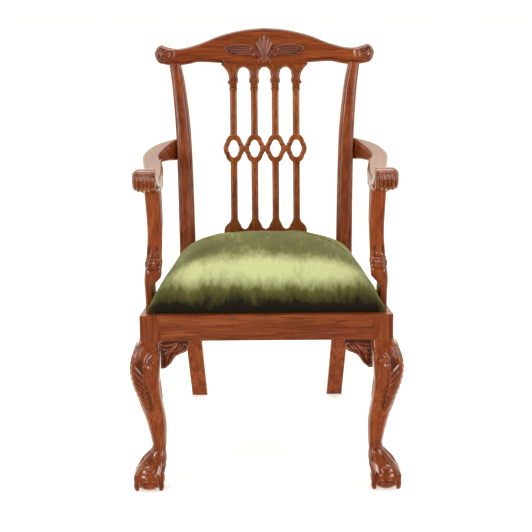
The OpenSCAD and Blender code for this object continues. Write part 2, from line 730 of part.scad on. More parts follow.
placed() right() back_post();  // left_back_post
placed() back_post();  // right_back_post
placed() crest_rail();
placed() splat();
placed() splat_shoe();
placed() front_rail();
placed() rear_rail();
placed() right() side_rail();  // left_side_rail
placed() side_rail();  // right_side_rail
placed() rear_seat_ledge();
placed() right() front_leg();  // left_front_leg
placed() front_leg();  // right_front_leg
placed() right() front_bracket();  // left_front_bracket
placed() front_bracket();  // right_front_bracket
placed() right() side_bracket();  // left_side_bracket
placed() side_bracket();  // right_side_bracket
placed() right() arm();  // left_arm
placed() arm();  // right_arm
placed() right() arm_support();  // left_arm_support
placed() arm_support();  // right_arm_support
placed() right() front_corner_block();  // front_left_corner_block
placed() front_corner_block();  // front_right_corner_block
placed() right() rear_corner_block();  // rear_left_corner_block
placed() rear_corner_block();  // rear_right_corner_block
placed() corner_block_screws();
placed() arm_screws();
placed() arm_screw_plugs();
placed() arm_support_screws();
placed() ledge_screws();
placed() seat_front_member();
placed() seat_back_member();
placed() right() seat_side_member();  // seat_left_member
placed() seat_side_member();  // seat_right_member
placed() lengthwise_webbing();
placed() crosswise_webbing();
placed() hessian();
placed() stuffing();
placed() velvet_cover();
placed() dust_cover();
placed() cover_tacks();
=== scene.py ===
import math

import bmesh
import bpy
import numpy as np
from mathutils import Matrix, Vector


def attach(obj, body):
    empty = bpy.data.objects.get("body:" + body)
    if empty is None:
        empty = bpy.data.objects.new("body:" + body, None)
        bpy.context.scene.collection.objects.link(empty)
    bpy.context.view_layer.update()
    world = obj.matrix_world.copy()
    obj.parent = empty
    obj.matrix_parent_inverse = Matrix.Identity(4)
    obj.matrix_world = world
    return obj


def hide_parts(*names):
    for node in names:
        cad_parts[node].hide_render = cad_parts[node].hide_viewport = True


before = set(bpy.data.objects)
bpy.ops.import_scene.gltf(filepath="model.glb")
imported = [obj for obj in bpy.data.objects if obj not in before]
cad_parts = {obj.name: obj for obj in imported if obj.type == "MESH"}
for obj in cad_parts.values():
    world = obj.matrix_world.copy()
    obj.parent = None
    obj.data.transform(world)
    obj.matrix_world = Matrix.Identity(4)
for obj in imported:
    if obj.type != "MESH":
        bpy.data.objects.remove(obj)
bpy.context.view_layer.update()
print("frame loaded:", len(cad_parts), "nodes")

# Sizes are in millimetres, measured back from the front rail's face; toFrame moves them to the part's frame
chair = {"middle": 294.0, "railFoot": 378.0, "halfWidth": 292.0,
         "taper": 0.1736, "seatDepth": 432.0, "lip": 14.0, "blockIn": 245.0, "lean": math.radians(11.3)}
leanLength = (1003 - 440) / math.cos(chair["lean"])
crestFoot = leanLength - 92


def toFrame(points):
    # metres in the part's frame = (millimetres - middle of the chair) / 1000
    return (np.asarray(points, float) - [0, chair["middle"], 0]) / 1000


def sideX(depth):
    # outer face of a side rail: half width less the taper per millimetre of depth
    return chair["halfWidth"] - chair["taper"] * depth


def onBack(across, up, behind):
    # a point of the leaning back: up runs along the lean, behind runs square to it
    s, c = math.sin(chair["lean"]), math.cos(chair["lean"])
    across, up, behind = np.broadcast_arrays(across, up, behind)
    return np.stack([across, 432 + up * s + behind * c, 440 + up * c - behind * s], -1)


def smoothLine(points, steps=8):
    # cubic through each pair of points, whose slope at a point is half the step between its neighbours
    p = np.asarray(points, float)
    i = np.arange(len(p) - 1)
    a, b, c, d = p[np.maximum(i - 1, 0)], p[i], p[i + 1], p[np.minimum(i + 2, len(p) - 1)]
    t = (np.arange(steps) / steps)[None, :, None]
    a, b, c, d = a[:, None], b[:, None], c[:, None], d[:, None]
    line = b + 0.5 * t * (c - a + t * (2 * a - 5 * b + 4 * c - d + t * (3 * b - a - 3 * c + d)))
    return np.vstack([line.reshape(-1, p.shape[1]), p[-1:]])


def valueAlong(points, at, steps=10):
    # second number of the smooth line where its first number is at
    line = smoothLine(points, steps)
    line = line[np.argsort(line[:, 0], kind="stable")]
    return np.interp(at, line[:, 0], line[:, 1])


def sectionPattern(corner=5, wide=8, deep=3, front=None, outer=None):
    # rounded rectangle as four shares a point: half width, half depth, radius across, radius in depth
    rows = []
    for quarter, (sx, sy) in enumerate([(1, 1), (-1, 1), (-1, -1), (1, -1)]):
        turn = np.linspace(0, math.pi / 2, corner) + quarter * math.pi / 2
        rows.append(np.stack([np.full(corner, sx), np.full(corner, sy), np.cos(turn) - sx,
                              np.sin(turn) - sy], 1))
    out = []
    for quarter, count in enumerate([wide, deep, front or wide, outer or deep]):
        start, end = rows[quarter][-1], rows[(quarter + 1) % 4][0]
        share = 0.5 - 0.5 * np.cos(np.linspace(0, math.pi, count + 2)[1:-1])
        share = 0.35 * share + 0.65 * np.linspace(0, 1, count + 2)[1:-1]
        out += [rows[quarter], start + (end - start) * share[:, None]]
    return np.vstack(out)


def sectionPoints(pattern, halfWide, halfDeep, radius):
    # x and y of the rounded rectangle at each station
    halfWide, halfDeep, radius = (np.asarray(v, float).reshape(-1, 1) for v in (halfWide, halfDeep, radius))
    return (pattern[:, 0] * halfWide + pattern[:, 2] * radius,
            pattern[:, 1] * halfDeep + pattern[:, 3] * radius)


def strokeHeight(across, up, strokes):
    # carved leaves: rise * sqrt(1 - (distance / half width)^2) about each smooth stroke, and the tallest wins
    height = np.zeros(np.shape(across))
    for rise, points in strokes:
        near = np.full(np.shape(across), 4.0)
        for x, z, w in smoothLine(points, 7):
            near = np.minimum(near, ((across - x) ** 2 + (up - z) ** 2) / max(w, 0.4) ** 2)
        height = np.maximum(height, rise * np.sqrt(np.clip(1 - near, 0, 1)))
    return height


def shell(points, around=True, caps=True, recess=None):
    # a grid of points (stations, section) as one closed skin, its end stations closed to their middles
    rows, cols = points.shape[:2]
    i, j = np.meshgrid(np.arange(rows - 1), np.arange(cols if around else cols - 1), indexing="ij")
    k = (j + 1) % cols
    quads = np.stack([i * cols + j, i * cols + k, (i + 1) * cols + k, (i + 1) * cols + j], -1).reshape(-1, 4)
    verts = points.reshape(-1, 3)
    shade = np.zeros(len(verts)) if recess is None else np.broadcast_to(recess, (rows, cols)).ravel()
    tris = np.zeros((0, 3), int)
    if caps:
        verts = np.vstack([verts, points[0].mean(0), points[-1].mean(0)])
        shade = np.append(shade, [shade[0], shade[rows * cols - 1]])
        a = np.arange(cols)
        b, first, last = (a + 1) % cols, rows * cols, rows * cols + 1
        top = (rows - 1) * cols
        tris = np.vstack([np.stack([np.full(cols, first), b, a], 1),
                          np.stack([np.full(cols, last), top + a, top + b], 1)])
    faces = np.vstack([quads[:, [0, 1, 2]], quads[:, [0, 2, 3]], tris])
    volume = np.einsum("ij,ij->i", verts[faces[:, 0]], np.cross(verts[faces[:, 1]], verts[faces[:, 2]])).sum()
    if volume < 0:
        quads, tris = quads[:, ::-1], tris[:, ::-1]
    return {"verts": verts, "quads": quads, "tris": tris, "recess": shade}


def mirrorX(skin):
    # the same skin on the other side, with its faces turned round
    return {"verts": skin["verts"] * [-1, 1, 1], "quads": skin["quads"][:, ::-1],
            "tris": skin["tris"][:, ::-1],
            "recess": skin["recess"]}


def makePiece(name, skins, material, body="chair_frame", nodes=(), smooth=True):
    # one object from its skins, at the origin, with the painted shade of its hollows kept as the attribute
    # "recess"
    verts, faces, recess, base = [], [], [], 0
    for skin in skins:
        verts.append(skin["verts"])
        faces += (skin["quads"] + base).tolist() + (skin["tris"] + base).tolist()
        recess.append(skin["recess"])
        base += len(skin["verts"])
    mesh = bpy.data.meshes.new(name)
    mesh.from_pydata(toFrame(np.vstack(verts)).tolist(), [], faces)
    layer = mesh.attributes.new("recess", "FLOAT", "POINT")
    layer.data.foreach_set("value", np.concatenate(recess).astype(np.float32))
    mesh.polygons.foreach_set("use_smooth", np.full(len(mesh.polygons), smooth))
    mesh.update()
    obj = bpy.data.objects.new(name, mesh)
    bpy.context.scene.collection.objects.link(obj)
    obj.data.materials.append(material)
    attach(obj, body)
    if nodes:
        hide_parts(*nodes)
    return obj


def bothSides(stem, skins, material, nodeStem=None):
    # the right piece from its skins and the left one as its mirror
    for side, made in (("right", skins), ("left", [mirrorX(s) for s in skins])):
        nodes = [f"{side}_{nodeStem}"] if nodeStem else []
        makePiece(f"{side}_{stem}", made, material, nodes=nodes)


def easedCopy(node, material, radius, body="chair_frame", above=None, name=None,
              stands=True):
    # a merged copy of a plain solid, its edges rounded over by the bevel
    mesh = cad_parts[node].data.copy()
    work = bmesh.new()
    work.from_mesh(mesh)
    bmesh.ops.remove_doubles(work, verts=work.verts, dist=1e-5)
    if above is not None:
        cut = bmesh.ops.bisect_plane(work, geom=work.verts[:] + work.edges[:] + work.faces[:],
                                     plane_co=(0, 0, above), plane_no=(0, 0, 1), clear_inner=True)
        bmesh.ops.contextual_create(work, geom=[e for e in cut["geom_cut"]
                                                if isinstance(e, bmesh.types.BMEdge)])
    bmesh.ops.dissolve_limit(work, angle_limit=math.radians(1), verts=work.verts, edges=work.edges)
    work.to_mesh(mesh)
    work.free()
    mesh.materials.clear()
    mesh.materials.append(material)
    obj = bpy.data.objects.new(name or node + "_eased", mesh)
    bpy.context.scene.collection.objects.link(obj)
    bevel = obj.modifiers.new("easedEdges", "BEVEL")
    bevel.width, bevel.segments, bevel.limit_method = radius / 1000, 3, "ANGLE"
    bevel.angle_limit, bevel.harden_normals = math.radians(38), True
    mesh.polygons.foreach_set("use_smooth", np.full(len(mesh.polygons), True))
    weighted = obj.modifiers.new("flatFaces", "WEIGHTED_NORMAL")
    weighted.weight, weighted.mode, weighted.keep_sharp = 100, "FACE_AREA", True
    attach(obj, body)
    if stands:
        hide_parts(node)
    return obj


# Materials: every one is built from noise on Object coordinates
def nodeTree(name):
    material = bpy.data.materials.new(name)
    material.use_nodes = True
    tree = material.node_tree
    shader = tree.nodes["Principled BSDF"]
    return material, tree, shader


def addNode(tree, kind, inputs=None, **settings):
    # one node with its settings and inputs filled in; a tuple (node, socket) is linked
    made = tree.nodes.new(kind)
    for key, value in settings.items():
        setattr(made, key, value)
    for key, value in (inputs or {}).items():
        socket = made.inputs[key]
        if isinstance(value, tuple) and len(value) == 2 and isinstance(value[0], bpy.types.Node):
            tree.links.new(value[0].outputs[value[1]], socket)
        else:
            socket.default_value = value
    return made


def colourRamp(tree, source, stops):
    ramp = addNode(tree, "ShaderNodeValToRGB", {"Fac": source})
    while len(ramp.color_ramp.elements) < len(stops):
        ramp.color_ramp.elements.new(0.5)
    for element, (place, colour) in zip(ramp.color_ramp.elements, stops):
        element.position, element.color = place, (*colour, 1)
    return ramp


def mixColour(tree, blend, share, a, b):
    return addNode(tree, "ShaderNodeMix", {"Factor": share, 6: a, 7: b}, data_type="RGBA", blend_type=blend)


woodLook = {"dark": (0.15, 0.022, 0.004), "mid": (0.27, 0.05, 0.007), "light": (0.38, 0.09, 0.014),
            "gloss": 0.24, "coat": 0.9, "coatRoughness": 0.05, "coatIor": 1.56, "pores": 0.04}


def mahoganyMaterial(name, grain, tint=1.0, warm=0.0, seed=0.0):
    # long noise for the figure, very long fine noise for the pores, broad noise for the tone of the board
    material, tree, shader = nodeTree(name)
    place = addNode(tree, "ShaderNodeTexCoord")
    stretch = {"X": (0.09, 1, 1), "Y": (1, 0.09, 1), "Z": (1, 1, 0.09)}[grain]
    lined = addNode(tree, "ShaderNodeMapping", {"Vector": (place, "Object"), "Scale": stretch,
                                                "Location": (seed, seed * 0.7, seed * 0.4)})
    figure = addNode(tree, "ShaderNodeTexNoise", {"Vector": (lined, "Vector"), "Scale": 85, "Detail": 6,
                                                  "Roughness": 0.6, "Distortion": 0.7})
    bands = addNode(tree, "ShaderNodeTexNoise", {"Vector": (lined, "Vector"), "Scale": 9, "Detail": 3,
                                                 "Roughness": 0.5, "Distortion": 0.6})
    porous = addNode(tree, "ShaderNodeTexNoise", {"Vector": (lined, "Vector"), "Scale": 260, "Detail": 2,
                                                  "Roughness": 0.5})
    tone = addNode(tree, "ShaderNodeTexNoise", {"Vector": (place, "Object"), "Scale": 3.1, "Detail": 2})
    dark, mid, light = ([min(1, c * tint * (1 + warm * k)) for c, k in zip(woodLook[key], (0.25, 1, 0.6))]
                        for key in ("dark", "mid", "light"))
    wood = colourRamp(tree, (figure, "Fac"), [(0.28, dark), (0.5, mid), (0.74, light)])
    banded = mixColour(tree, "MULTIPLY", 0.32, (wood, "Color"),
                       (colourRamp(tree, (bands, "Fac"),
                                   [(0.3, (0.55, 0.5, 0.5)), (0.7, (1.25, 1.2, 1.15))]), "Color"))
    toned = mixColour(tree, "MULTIPLY", 0.4, (banded, 2),
                      (colourRamp(tree, (tone, "Fac"), [(0.3, (0.72, 0.7, 0.7)), (0.7, (1.2, 1.2, 1.2))]),
                       "Color"))
    pores = mixColour(tree, "MULTIPLY", 0.5, (toned, 2),
                      (colourRamp(tree, (porous, "Fac"), [(0.36, (0.35, 0.3, 0.3)), (0.46, (1, 1, 1))]),
                       "Color"))
    # painted shade: the attribute "recess" darkens the wood towards near black in hollows, grooves and under
    # edges
    depth = addNode(tree, "ShaderNodeAttribute", attribute_name="recess")
    carved = mixColour(tree, "MIX", (addNode(tree, "ShaderNodeMapRange",
                                             {"Value": (depth, "Fac"), "To Max": 0.85}), "Result"),
                       (pores, 2), (0.03, 0.004, 0.001, 1))
    tree.links.new(carved.outputs[2], shader.inputs["Base Color"])
    rough = addNode(tree, "ShaderNodeMapRange", {"Value": (figure, "Fac"), "To Min": woodLook["gloss"] - 0.06,
                                                 "To Max": woodLook["gloss"] + 0.1})
    tree.links.new(rough.outputs[0], shader.inputs["Roughness"])
    shader.inputs["Coat Weight"].default_value = woodLook["coat"]
    shader.inputs["Coat Roughness"].default_value = woodLook["coatRoughness"]
    shader.inputs["Coat IOR"].default_value = woodLook["coatIor"]
    shader.inputs["Specular IOR Level"].default_value = 0.4
    bump = addNode(tree, "ShaderNodeBump", {"Height": (porous, "Fac"), "Strength": woodLook["pores"],
                                            "Distance": 0.0004})
    tree.links.new(bump.outputs[0], shader.inputs["Normal"])
    return material


def wovenMaterial(name, dark, light, pitch, roughness=0.9, sheen=0.2):
    # two crossed sine waves a thread pitch apart, broken up by noise
    material, tree, shader = nodeTree(name)
    place = addNode(tree, "ShaderNodeTexCoord")
    waves = [addNode(tree, "ShaderNodeTexWave",
                     {"Vector": (place, "Object"), "Scale": 0.314 / (pitch / 1000) / 6.283 * 2,
                                                 "Distortion": 0.6, "Detail": 1, "Detail Scale": 3},
                     wave_type="BANDS", bands_direction=axis) for axis in ("X", "Y")]
    crossed = addNode(tree, "ShaderNodeMath", {0: (waves[0], "Fac"), 1: (waves[1], "Fac")},
                      operation="MULTIPLY")
    fuzz = addNode(tree, "ShaderNodeTexNoise", {"Vector": (place, "Object"), "Scale": 45, "Detail": 5})
    cloth = colourRamp(tree, (crossed, 0), [(0.05, dark), (0.75, light)])
    mixed = mixColour(tree, "MULTIPLY", 0.5, (cloth, "Color"),
                      (colourRamp(tree, (fuzz, "Fac"),
                                  [(0.3, (0.6, 0.6, 0.6)), (0.7, (1.15, 1.15, 1.15))]), "Color"))
    tree.links.new(mixed.outputs[2], shader.inputs["Base Color"])
    shader.inputs["Roughness"].default_value = roughness
    shader.inputs["Sheen Weight"].default_value = sheen
    bump = addNode(tree, "ShaderNodeBump", {"Height": (crossed, 0), "Strength": 0.5, "Distance": 0.0006})
    tree.links.new(bump.outputs[0], shader.inputs["Normal"])
    return material


def steelMaterial(name, colour, roughness):
    # brushed metal: noise drawn out round the screw's head
    material, tree, shader = nodeTree(name)
    place = addNode(tree, "ShaderNodeTexCoord")
    fine = addNode(tree, "ShaderNodeTexNoise", {"Vector": (place, "Object"), "Scale": 900, "Detail": 4})
    shade = colourRamp(tree, (fine, "Fac"), [(0.3, [c * 0.6 for c in colour]), (0.7, colour)])
    tree.links.new(shade.outputs[0], shader.inputs["Base Color"])
    shader.inputs["Metallic"].default_value = 1
    rough = addNode(tree, "ShaderNodeMapRange",
                    {"Value": (fine, "Fac"), "To Min": roughness - 0.1, "To Max": roughness + 0.15})
    tree.links.new(rough.outputs[0], shader.inputs["Roughness"])
    return material


def beechMaterial(name):
    # pale unpolished wood with short dark flecks
    material, tree, shader = nodeTree(name)
    place = addNode(tree, "ShaderNodeTexCoord")
    lined = addNode(tree, "ShaderNodeMapping", {"Vector": (place, "Object"), "Scale": (0.15, 1, 1)})
    figure = addNode(tree, "ShaderNodeTexNoise",
                     {"Vector": (lined, "Vector"), "Scale": 55, "Detail": 6, "Distortion": 0.4})
    fleck = addNode(tree, "ShaderNodeTexNoise", {"Vector": (lined, "Vector"), "Scale": 400, "Detail": 1})
    wood = colourRamp(tree, (figure, "Fac"), [(0.3, (0.36, 0.2, 0.085)), (0.7, (0.6, 0.4, 0.2))])
    mixed = mixColour(tree, "MULTIPLY", 0.6, (wood, "Color"),
                      (colourRamp(tree, (fleck, "Fac"), [(0.38, (0.5, 0.4, 0.3)), (0.45, (1, 1, 1))]),
                       "Color"))
    tree.links.new(mixed.outputs[2], shader.inputs["Base Color"])
    shader.inputs["Roughness"].default_value = 0.62
    bump = addNode(tree, "ShaderNodeBump", {"Height": (fleck, "Fac"), "Strength": 0.2, "Distance": 0.0004})
    tree.links.new(bump.outputs[0], shader.inputs["Normal"])
    return material


velvetLook = {"deep": (0.012, 0.008, 0.003), "olive": (0.11, 0.105, 0.022), "lit": (0.6, 0.64, 0.31),
              "sheen": 0.55, "sheenRoughness": 0.35, "sheenTint": (0.75, 0.82, 0.4), "nap": 0.3}


def velvetMaterial(name):
    # brushed pile: broad streaks drawn out along the depth, fine pile noise, and "nap" for the way it lies,
    # which also carries a painted highlight band and painted shade
    material, tree, shader = nodeTree(name)
    place = addNode(tree, "ShaderNodeTexCoord")
    drawn = addNode(tree, "ShaderNodeMapping", {"Vector": (place, "Object"), "Scale": (1, 0.35, 0.5),
                                                "Rotation": (0, 0, 0.25)})
    brushed = addNode(tree, "ShaderNodeTexNoise", {"Vector": (drawn, "Vector"), "Scale": 16, "Detail": 6,
                                                   "Roughness": 0.6, "Distortion": 0.8})
    streaks = addNode(tree, "ShaderNodeTexNoise",
                      {"Vector": (drawn, "Vector"), "Scale": 95, "Detail": 6, "Distortion": 0.6})
    pile = addNode(tree, "ShaderNodeTexNoise", {"Vector": (place, "Object"), "Scale": 1400, "Detail": 2})
    napAndPaintedLight = addNode(tree, "ShaderNodeAttribute", attribute_name="nap")
    both = addNode(tree, "ShaderNodeMath", {0: (brushed, "Fac"), 1: 0.55, 2: (napAndPaintedLight, "Fac")},
                   operation="MULTIPLY_ADD")
    fine = addNode(tree, "ShaderNodeMath", {0: (streaks, "Fac"), 1: 0.34, 2: (both, 0)},
                   operation="MULTIPLY_ADD")
    # the ramp from deep through olive to lit turns the painted highlight and painted shade in "nap" into
    # colour
    cloth = colourRamp(tree, (fine, 0), [(0.2, velvetLook["deep"]), (0.54, velvetLook["olive"]),
                                         (0.98, velvetLook["lit"])])
    flecked = mixColour(tree, "MULTIPLY", 0.5, (cloth, "Color"),
                        (colourRamp(tree, (pile, "Fac"),
                                    [(0.3, (0.55, 0.55, 0.5)), (0.7, (1.3, 1.3, 1.25))]), "Color"))
    tree.links.new(flecked.outputs[2], shader.inputs["Base Color"])
    shader.inputs["Roughness"].default_value = 0.8
    shader.inputs["Specular IOR Level"].default_value = 0.15
    shader.inputs["Sheen Weight"].default_value = velvetLook["sheen"]
    shader.inputs["Sheen Roughness"].default_value = velvetLook["sheenRoughness"]
    shader.inputs["Sheen Tint"].default_value = (*velvetLook["sheenTint"], 1)
    rub = addNode(tree, "ShaderNodeMath", {0: (streaks, "Fac"), 1: 2.0, 2: (pile, "Fac")},
                  operation="MULTIPLY_ADD")
    bump = addNode(tree, "ShaderNodeBump", {"Height": (rub, 0), "Strength": velvetLook["nap"],
                                            "Distance": 0.0012})
    tree.links.new(bump.outputs[0], shader.inputs["Normal"])
    return material


woodUpright = mahoganyMaterial("mahoganyUpright", "Z", 1.0, 0.0, 0.3)
woodSplat = mahoganyMaterial("mahoganySplat", "Z", 1.12, 0.3, 1.7)
woodAcross = mahoganyMaterial("mahoganyAcross", "X", 0.95, 0.0, 2.9)
woodDeep = mahoganyMaterial("mahoganyDeep", "Y", 0.95, 0.0, 4.1)
beech = beechMaterial("planedBeech")
screwSteel = steelMaterial("zincScrew", (0.6, 0.6, 0.62), 0.32)
tackSteel = steelMaterial("bluedTack", (0.1, 0.11, 0.14), 0.35)
jute = wovenMaterial("juteWebbing", (0.25, 0.2, 0.12), (0.62, 0.54, 0.38), 2.4)
hessianCloth = wovenMaterial("hessianWeave", (0.2, 0.14, 0.07), (0.55, 0.42, 0.25), 1.6)
blackCotton = wovenMaterial("blackCotton", (0.006, 0.006, 0.006), (0.03, 0.03, 0.032), 0.7)
wadding = wovenMaterial("cottonWadding", (0.55, 0.52, 0.46), (0.82, 0.8, 0.74), 5)
velvetCloth = velvetMaterial("shotVelvet")
print("materials ready")

# Back posts with the rear legs: sections level with the floor, from the smooth lines of their four edges
posts = {"outer": 218.0, "width": 41.0, "draw": 17.0, "spread": 20.0, "topWidth": 29.0, "rake": 146.0,
         "edge": 5.0, "quirk": 0.9}


def postSkins():
    top = 440 + crestFoot * math.cos(chair["lean"])
    rise = top - 440
    z = np.concatenate([np.linspace(0, 6, 4), np.linspace(12, 440, 90), np.linspace(444, top + 7, 110)])

    def edge(x, flare):
        line = [(-1, x - posts["draw"]), (189, x - posts["draw"] / 2), (378, x), (440, x),
                (440 + 0.58 * rise, x + 0.22 * flare), (440 + 0.86 * rise, x + 0.6 * flare),
                (top + 3, x + flare)]
        return valueAlong(line, z)

    outer = edge(posts["outer"], posts["spread"])
    inner = edge(posts["outer"] - posts["width"], posts["spread"] + posts["width"] - posts["topWidth"])
    front = valueAlong([(0, 432 + posts["rake"]), (196.6, 432 + 0.32 * posts["rake"]), (386, 432)], z)
    front = np.where(z > 386, 432 + np.maximum(0, z - 440) * math.tan(chair["lean"]), front)
    back = valueAlong([(0, 614), (189, 472 + 0.32 * posts["rake"]), (386, 472)], z)
    backTop = onBack(0, crestFoot, 27)
    back = np.where(z > 386, np.interp(z, [440, backTop[2]], [472, backTop[1]]), back)
    upper = np.clip((z - 445) / 25, 0, 1) * np.clip((top + 20 - z) / 10, 0, 1)
    radius = 2.5 + (posts["edge"] - 2.5) * upper
    footEase = np.minimum(1, z / 5 + 0.6)
    x, y = sectionPoints(sectionPattern(6, 22, 6), (outer - inner) / 2 * (0.97 + 0.03 * footEase),
                         (back - front) / 2, radius)
    # a bead along each front edge, set off by a shallow groove that is darkened with painted shade
    toEdge = (outer - inner)[:, None] / 2 - np.abs(x)
    onFront = np.clip((-y - (back - front)[:, None] / 2 + 1.2) / 1.2, 0, 1) * upper[:, None]
    groove = np.exp(-((toEdge - 7.5) / 1.3) ** 2)
    hollow = np.exp(-(x / 6.5) ** 4) * 0.5
    y = y + onFront * (groove * posts["quirk"] * 1.4 + hollow)
    points = np.stack([x + ((outer + inner) / 2)[:, None], y + ((front + back) / 2)[:, None],
                       np.broadcast_to(z[:, None], x.shape)], -1)
    return [shell(points, recess=groove * onFront * 0.75)]


bothSides("post", postSkins(), woodUpright, "back_post")
print("back posts")

# Crest rail: columns across the back, each a rounded section between the top and the bottom line
crest = {"ear": 274.0, "thick": 27.0, "edge": 8.0, "proud": 0.6}


def crestLines(x):
    e, top = crest["ear"], leanLength
    x = np.abs(x)
    upper = valueAlong([(0, top), (0.2 * e, top - 5), (0.4 * e, top - 18), (0.59 * e, top - 38),
                        (0.77 * e, top - 50), (0.88 * e, top - 46.5), (e - 19, top - 41)], x)
    lower = valueAlong([(0, crestFoot), (90, crestFoot), (99, crestFoot + 2), (109, crestFoot + 5),
                        (0.59 * e, crestFoot + 8),
                        (185, crestFoot + 4), (205, crestFoot + 1), (239, crestFoot + 1),
                        (e - 19, top - 88)], x)
    bend = np.sqrt(np.clip(1 - ((x - e + 19) / 19) ** 2, 0, 1))
    upper = np.where(x > e - 19, top - 63 + 22 * bend, upper)
    lower = np.where(x > e - 19, top - 63 - 25 * bend, lower)
    return upper, lower


def crestSkins():
    turn = np.linspace(0, math.pi / 2 - 0.08, 26)
    side = np.concatenate([np.linspace(0, crest["ear"] - 19, 172)[:-1],
                           crest["ear"] - 19 + 19 * np.sin(turn)])
    across = np.concatenate([-side[:0:-1], side])
    upper, lower = crestLines(across)
    half = (upper - lower) / 2
    deep = np.full(across.shape, crest["thick"] / 2)
    tip = np.sqrt(np.clip(1 - (np.clip(np.abs(across) - crest["ear"] + 16, 0, 16) / 16) ** 2 * 0.75, 0, 1))
    deep = deep * tip
    radius = np.minimum(crest["edge"], np.minimum(half, deep) * 0.9)
    s, d = sectionPoints(sectionPattern(8, 60, 6), half, deep, radius)
    up = s + ((upper + lower) / 2)[:, None]
    x = np.broadcast_to(across[:, None], s.shape)
    onFront = np.clip((-d - deep[:, None] + 2.5) / 2.5, 0, 1)
    fromTop, fromFoot = upper[:, None] - up, up - lower[:, None]
    inward = np.clip((np.abs(x) - 100) / 8, 0, 1) * np.clip((236 - np.abs(x)) / 14, 0, 1)
    lipGroove = np.exp(-((fromFoot - 8.0) / 1.5) ** 2) * inward
    # the ears swell forward and carry three ridges that follow their round end
    earX, earUp = np.abs(x) - (crest["ear"] - 25), up - (leanLength - 63)
    reach = np.hypot(earX, earUp)
    swell = np.clip(1 - (reach / 27) ** 2, 0, 1) ** 0.8
    outward = np.clip((earX + 0.35 * np.abs(earUp) + 7) / 10, 0, 1)
    ridges = 0.5 + 0.5 * np.cos(2 * math.pi * (25 - reach) / 6.2)
    earRelief = 5.0 * swell + outward * (1.9 * ridges - 1.2) * np.clip(reach / 9, 0, 1)
    step = np.exp(-((earX + 15 + 0.25 * earUp) / 3.0) ** 2) * np.clip(1 - np.abs(earUp) / 25, 0, 1)
    d = d + onFront * (1.5 * lipGroove - earRelief * np.clip((np.abs(x) - 215) / 12, 0, 1) + 1.0 * step)
    # painted shade in the lip groove, between the ear's ridges and in the step, and a painted dark line along
    # the top edge
    recess = onFront * np.maximum(0.8 * lipGroove, outward * (1 - ridges) * 0.75 * (np.abs(x) > 225))
    recess = np.maximum(recess, 0.5 * onFront * step)
    recess = np.maximum(recess, 0.55 * np.exp(-((fromTop - 1.5) / 3.0) ** 2))
    # over the splat the lower edge is square, so the two meet in a fine seam
    square = np.clip((103 - np.abs(x)) / 5, 0, 1) * (fromFoot < crest["edge"] + 0.5) * (d < 0)
    d = d + (-deep[:, None] - d) * square
    points = onBack(x, up, d + crest["thick"] / 2 - crest["proud"])
    return [shell(points, recess=recess)]


# Leaves of the carving at the middle of the crest: across, height above the crest's foot, half width
fanLeaves = [(5.2, [(0, 6, 2.2), (0, 28, 3.6), (0, 52, 5.6), (0, 66, 5.0), (0, 72, 3.0)]),
             (4.4, [(2, 6, 1.8), (4.5, 28, 2.8), (8, 46, 4.4), (10.5, 58, 5.2), (9.5, 66, 3.2)]),
             (3.9, [(3, 6, 1.8), (7.5, 26, 2.6), (12.5, 39, 3.8), (17, 49, 4.8), (18, 56, 3.0)]),
             (3.4, [(4, 8, 1.8), (12, 23, 2.8), (22, 35, 4.2), (31, 41, 4.6), (33, 36, 2.8)]),
             (3.8, [(3, 6, 1.8), (9, 17, 2.8), (16, 24, 4.0), (24, 27, 4.4), (27, 21, 2.6)]),
             (3.6, [(2.5, 4, 1.8), (7, 10, 2.8), (12, 14, 3.6), (15, 8, 3.2), (13, 3, 2.0)])]
wingLeaves = [(1.5, [(20, 35, 9), (48, 37, 12), (72, 37, 12), (88, 38, 6)]),
              (3.2, [(22, 43, 2.0), (45, 48, 3.2), (68, 50, 3.6), (88, 46, 3.0), (97, 45, 1.6)]),
              (2.8, [(24, 38, 1.8), (45, 42, 2.8), (68, 43.5, 3.0), (88, 41, 2.0)]),
              (2.7, [(26, 33, 1.8), (45, 36, 2.6), (66, 37.5, 2.8), (85, 36, 1.8)]),
              (2.7, [(28, 28.5, 1.8), (45, 30.5, 2.6), (64, 31.5, 2.6), (82, 30.5, 1.8)]),
              (3.0, [(30, 25, 2.0), (45, 25.5, 2.6), (62, 25.5, 3.0), (79, 23.5, 2.0)]),
              (3.4, [(97, 46, 1.8), (97, 40, 2.6), (92, 32, 2.8), (80, 24.5, 2.4)])]


def carvedPanel(strokes, across, up, place, ceiling=None, sink=1.2, base=3.0, shade=1.0):
    # a thin slab whose face is the strokes' height less the sink, so only the leaves stand out of the ground
    x, z = np.meshgrid(across, up, indexing="ij")
    if ceiling is not None:
        z = 1 + (z - 1) * np.minimum(1, (ceiling(x) - 1) / (up[-1] - 1))
    height = strokeHeight(x, z, strokes)
    face = np.where(height > 0.02, height, 0) - sink * (height <= 0.02)
    # painted shade on the ground between the leaves and on their low flanks
    hollow = np.clip(1 - (height - 1.1) / 1.5, 0, 1) * shade
    front = place(x, z, face)
    back = place(x[::-1], z[::-1], np.full(x.shape, -base))
    points = np.concatenate([front, back], 0)
    return closedSlab(points, np.concatenate([hollow, np.zeros(x.shape)], 0), len(across))


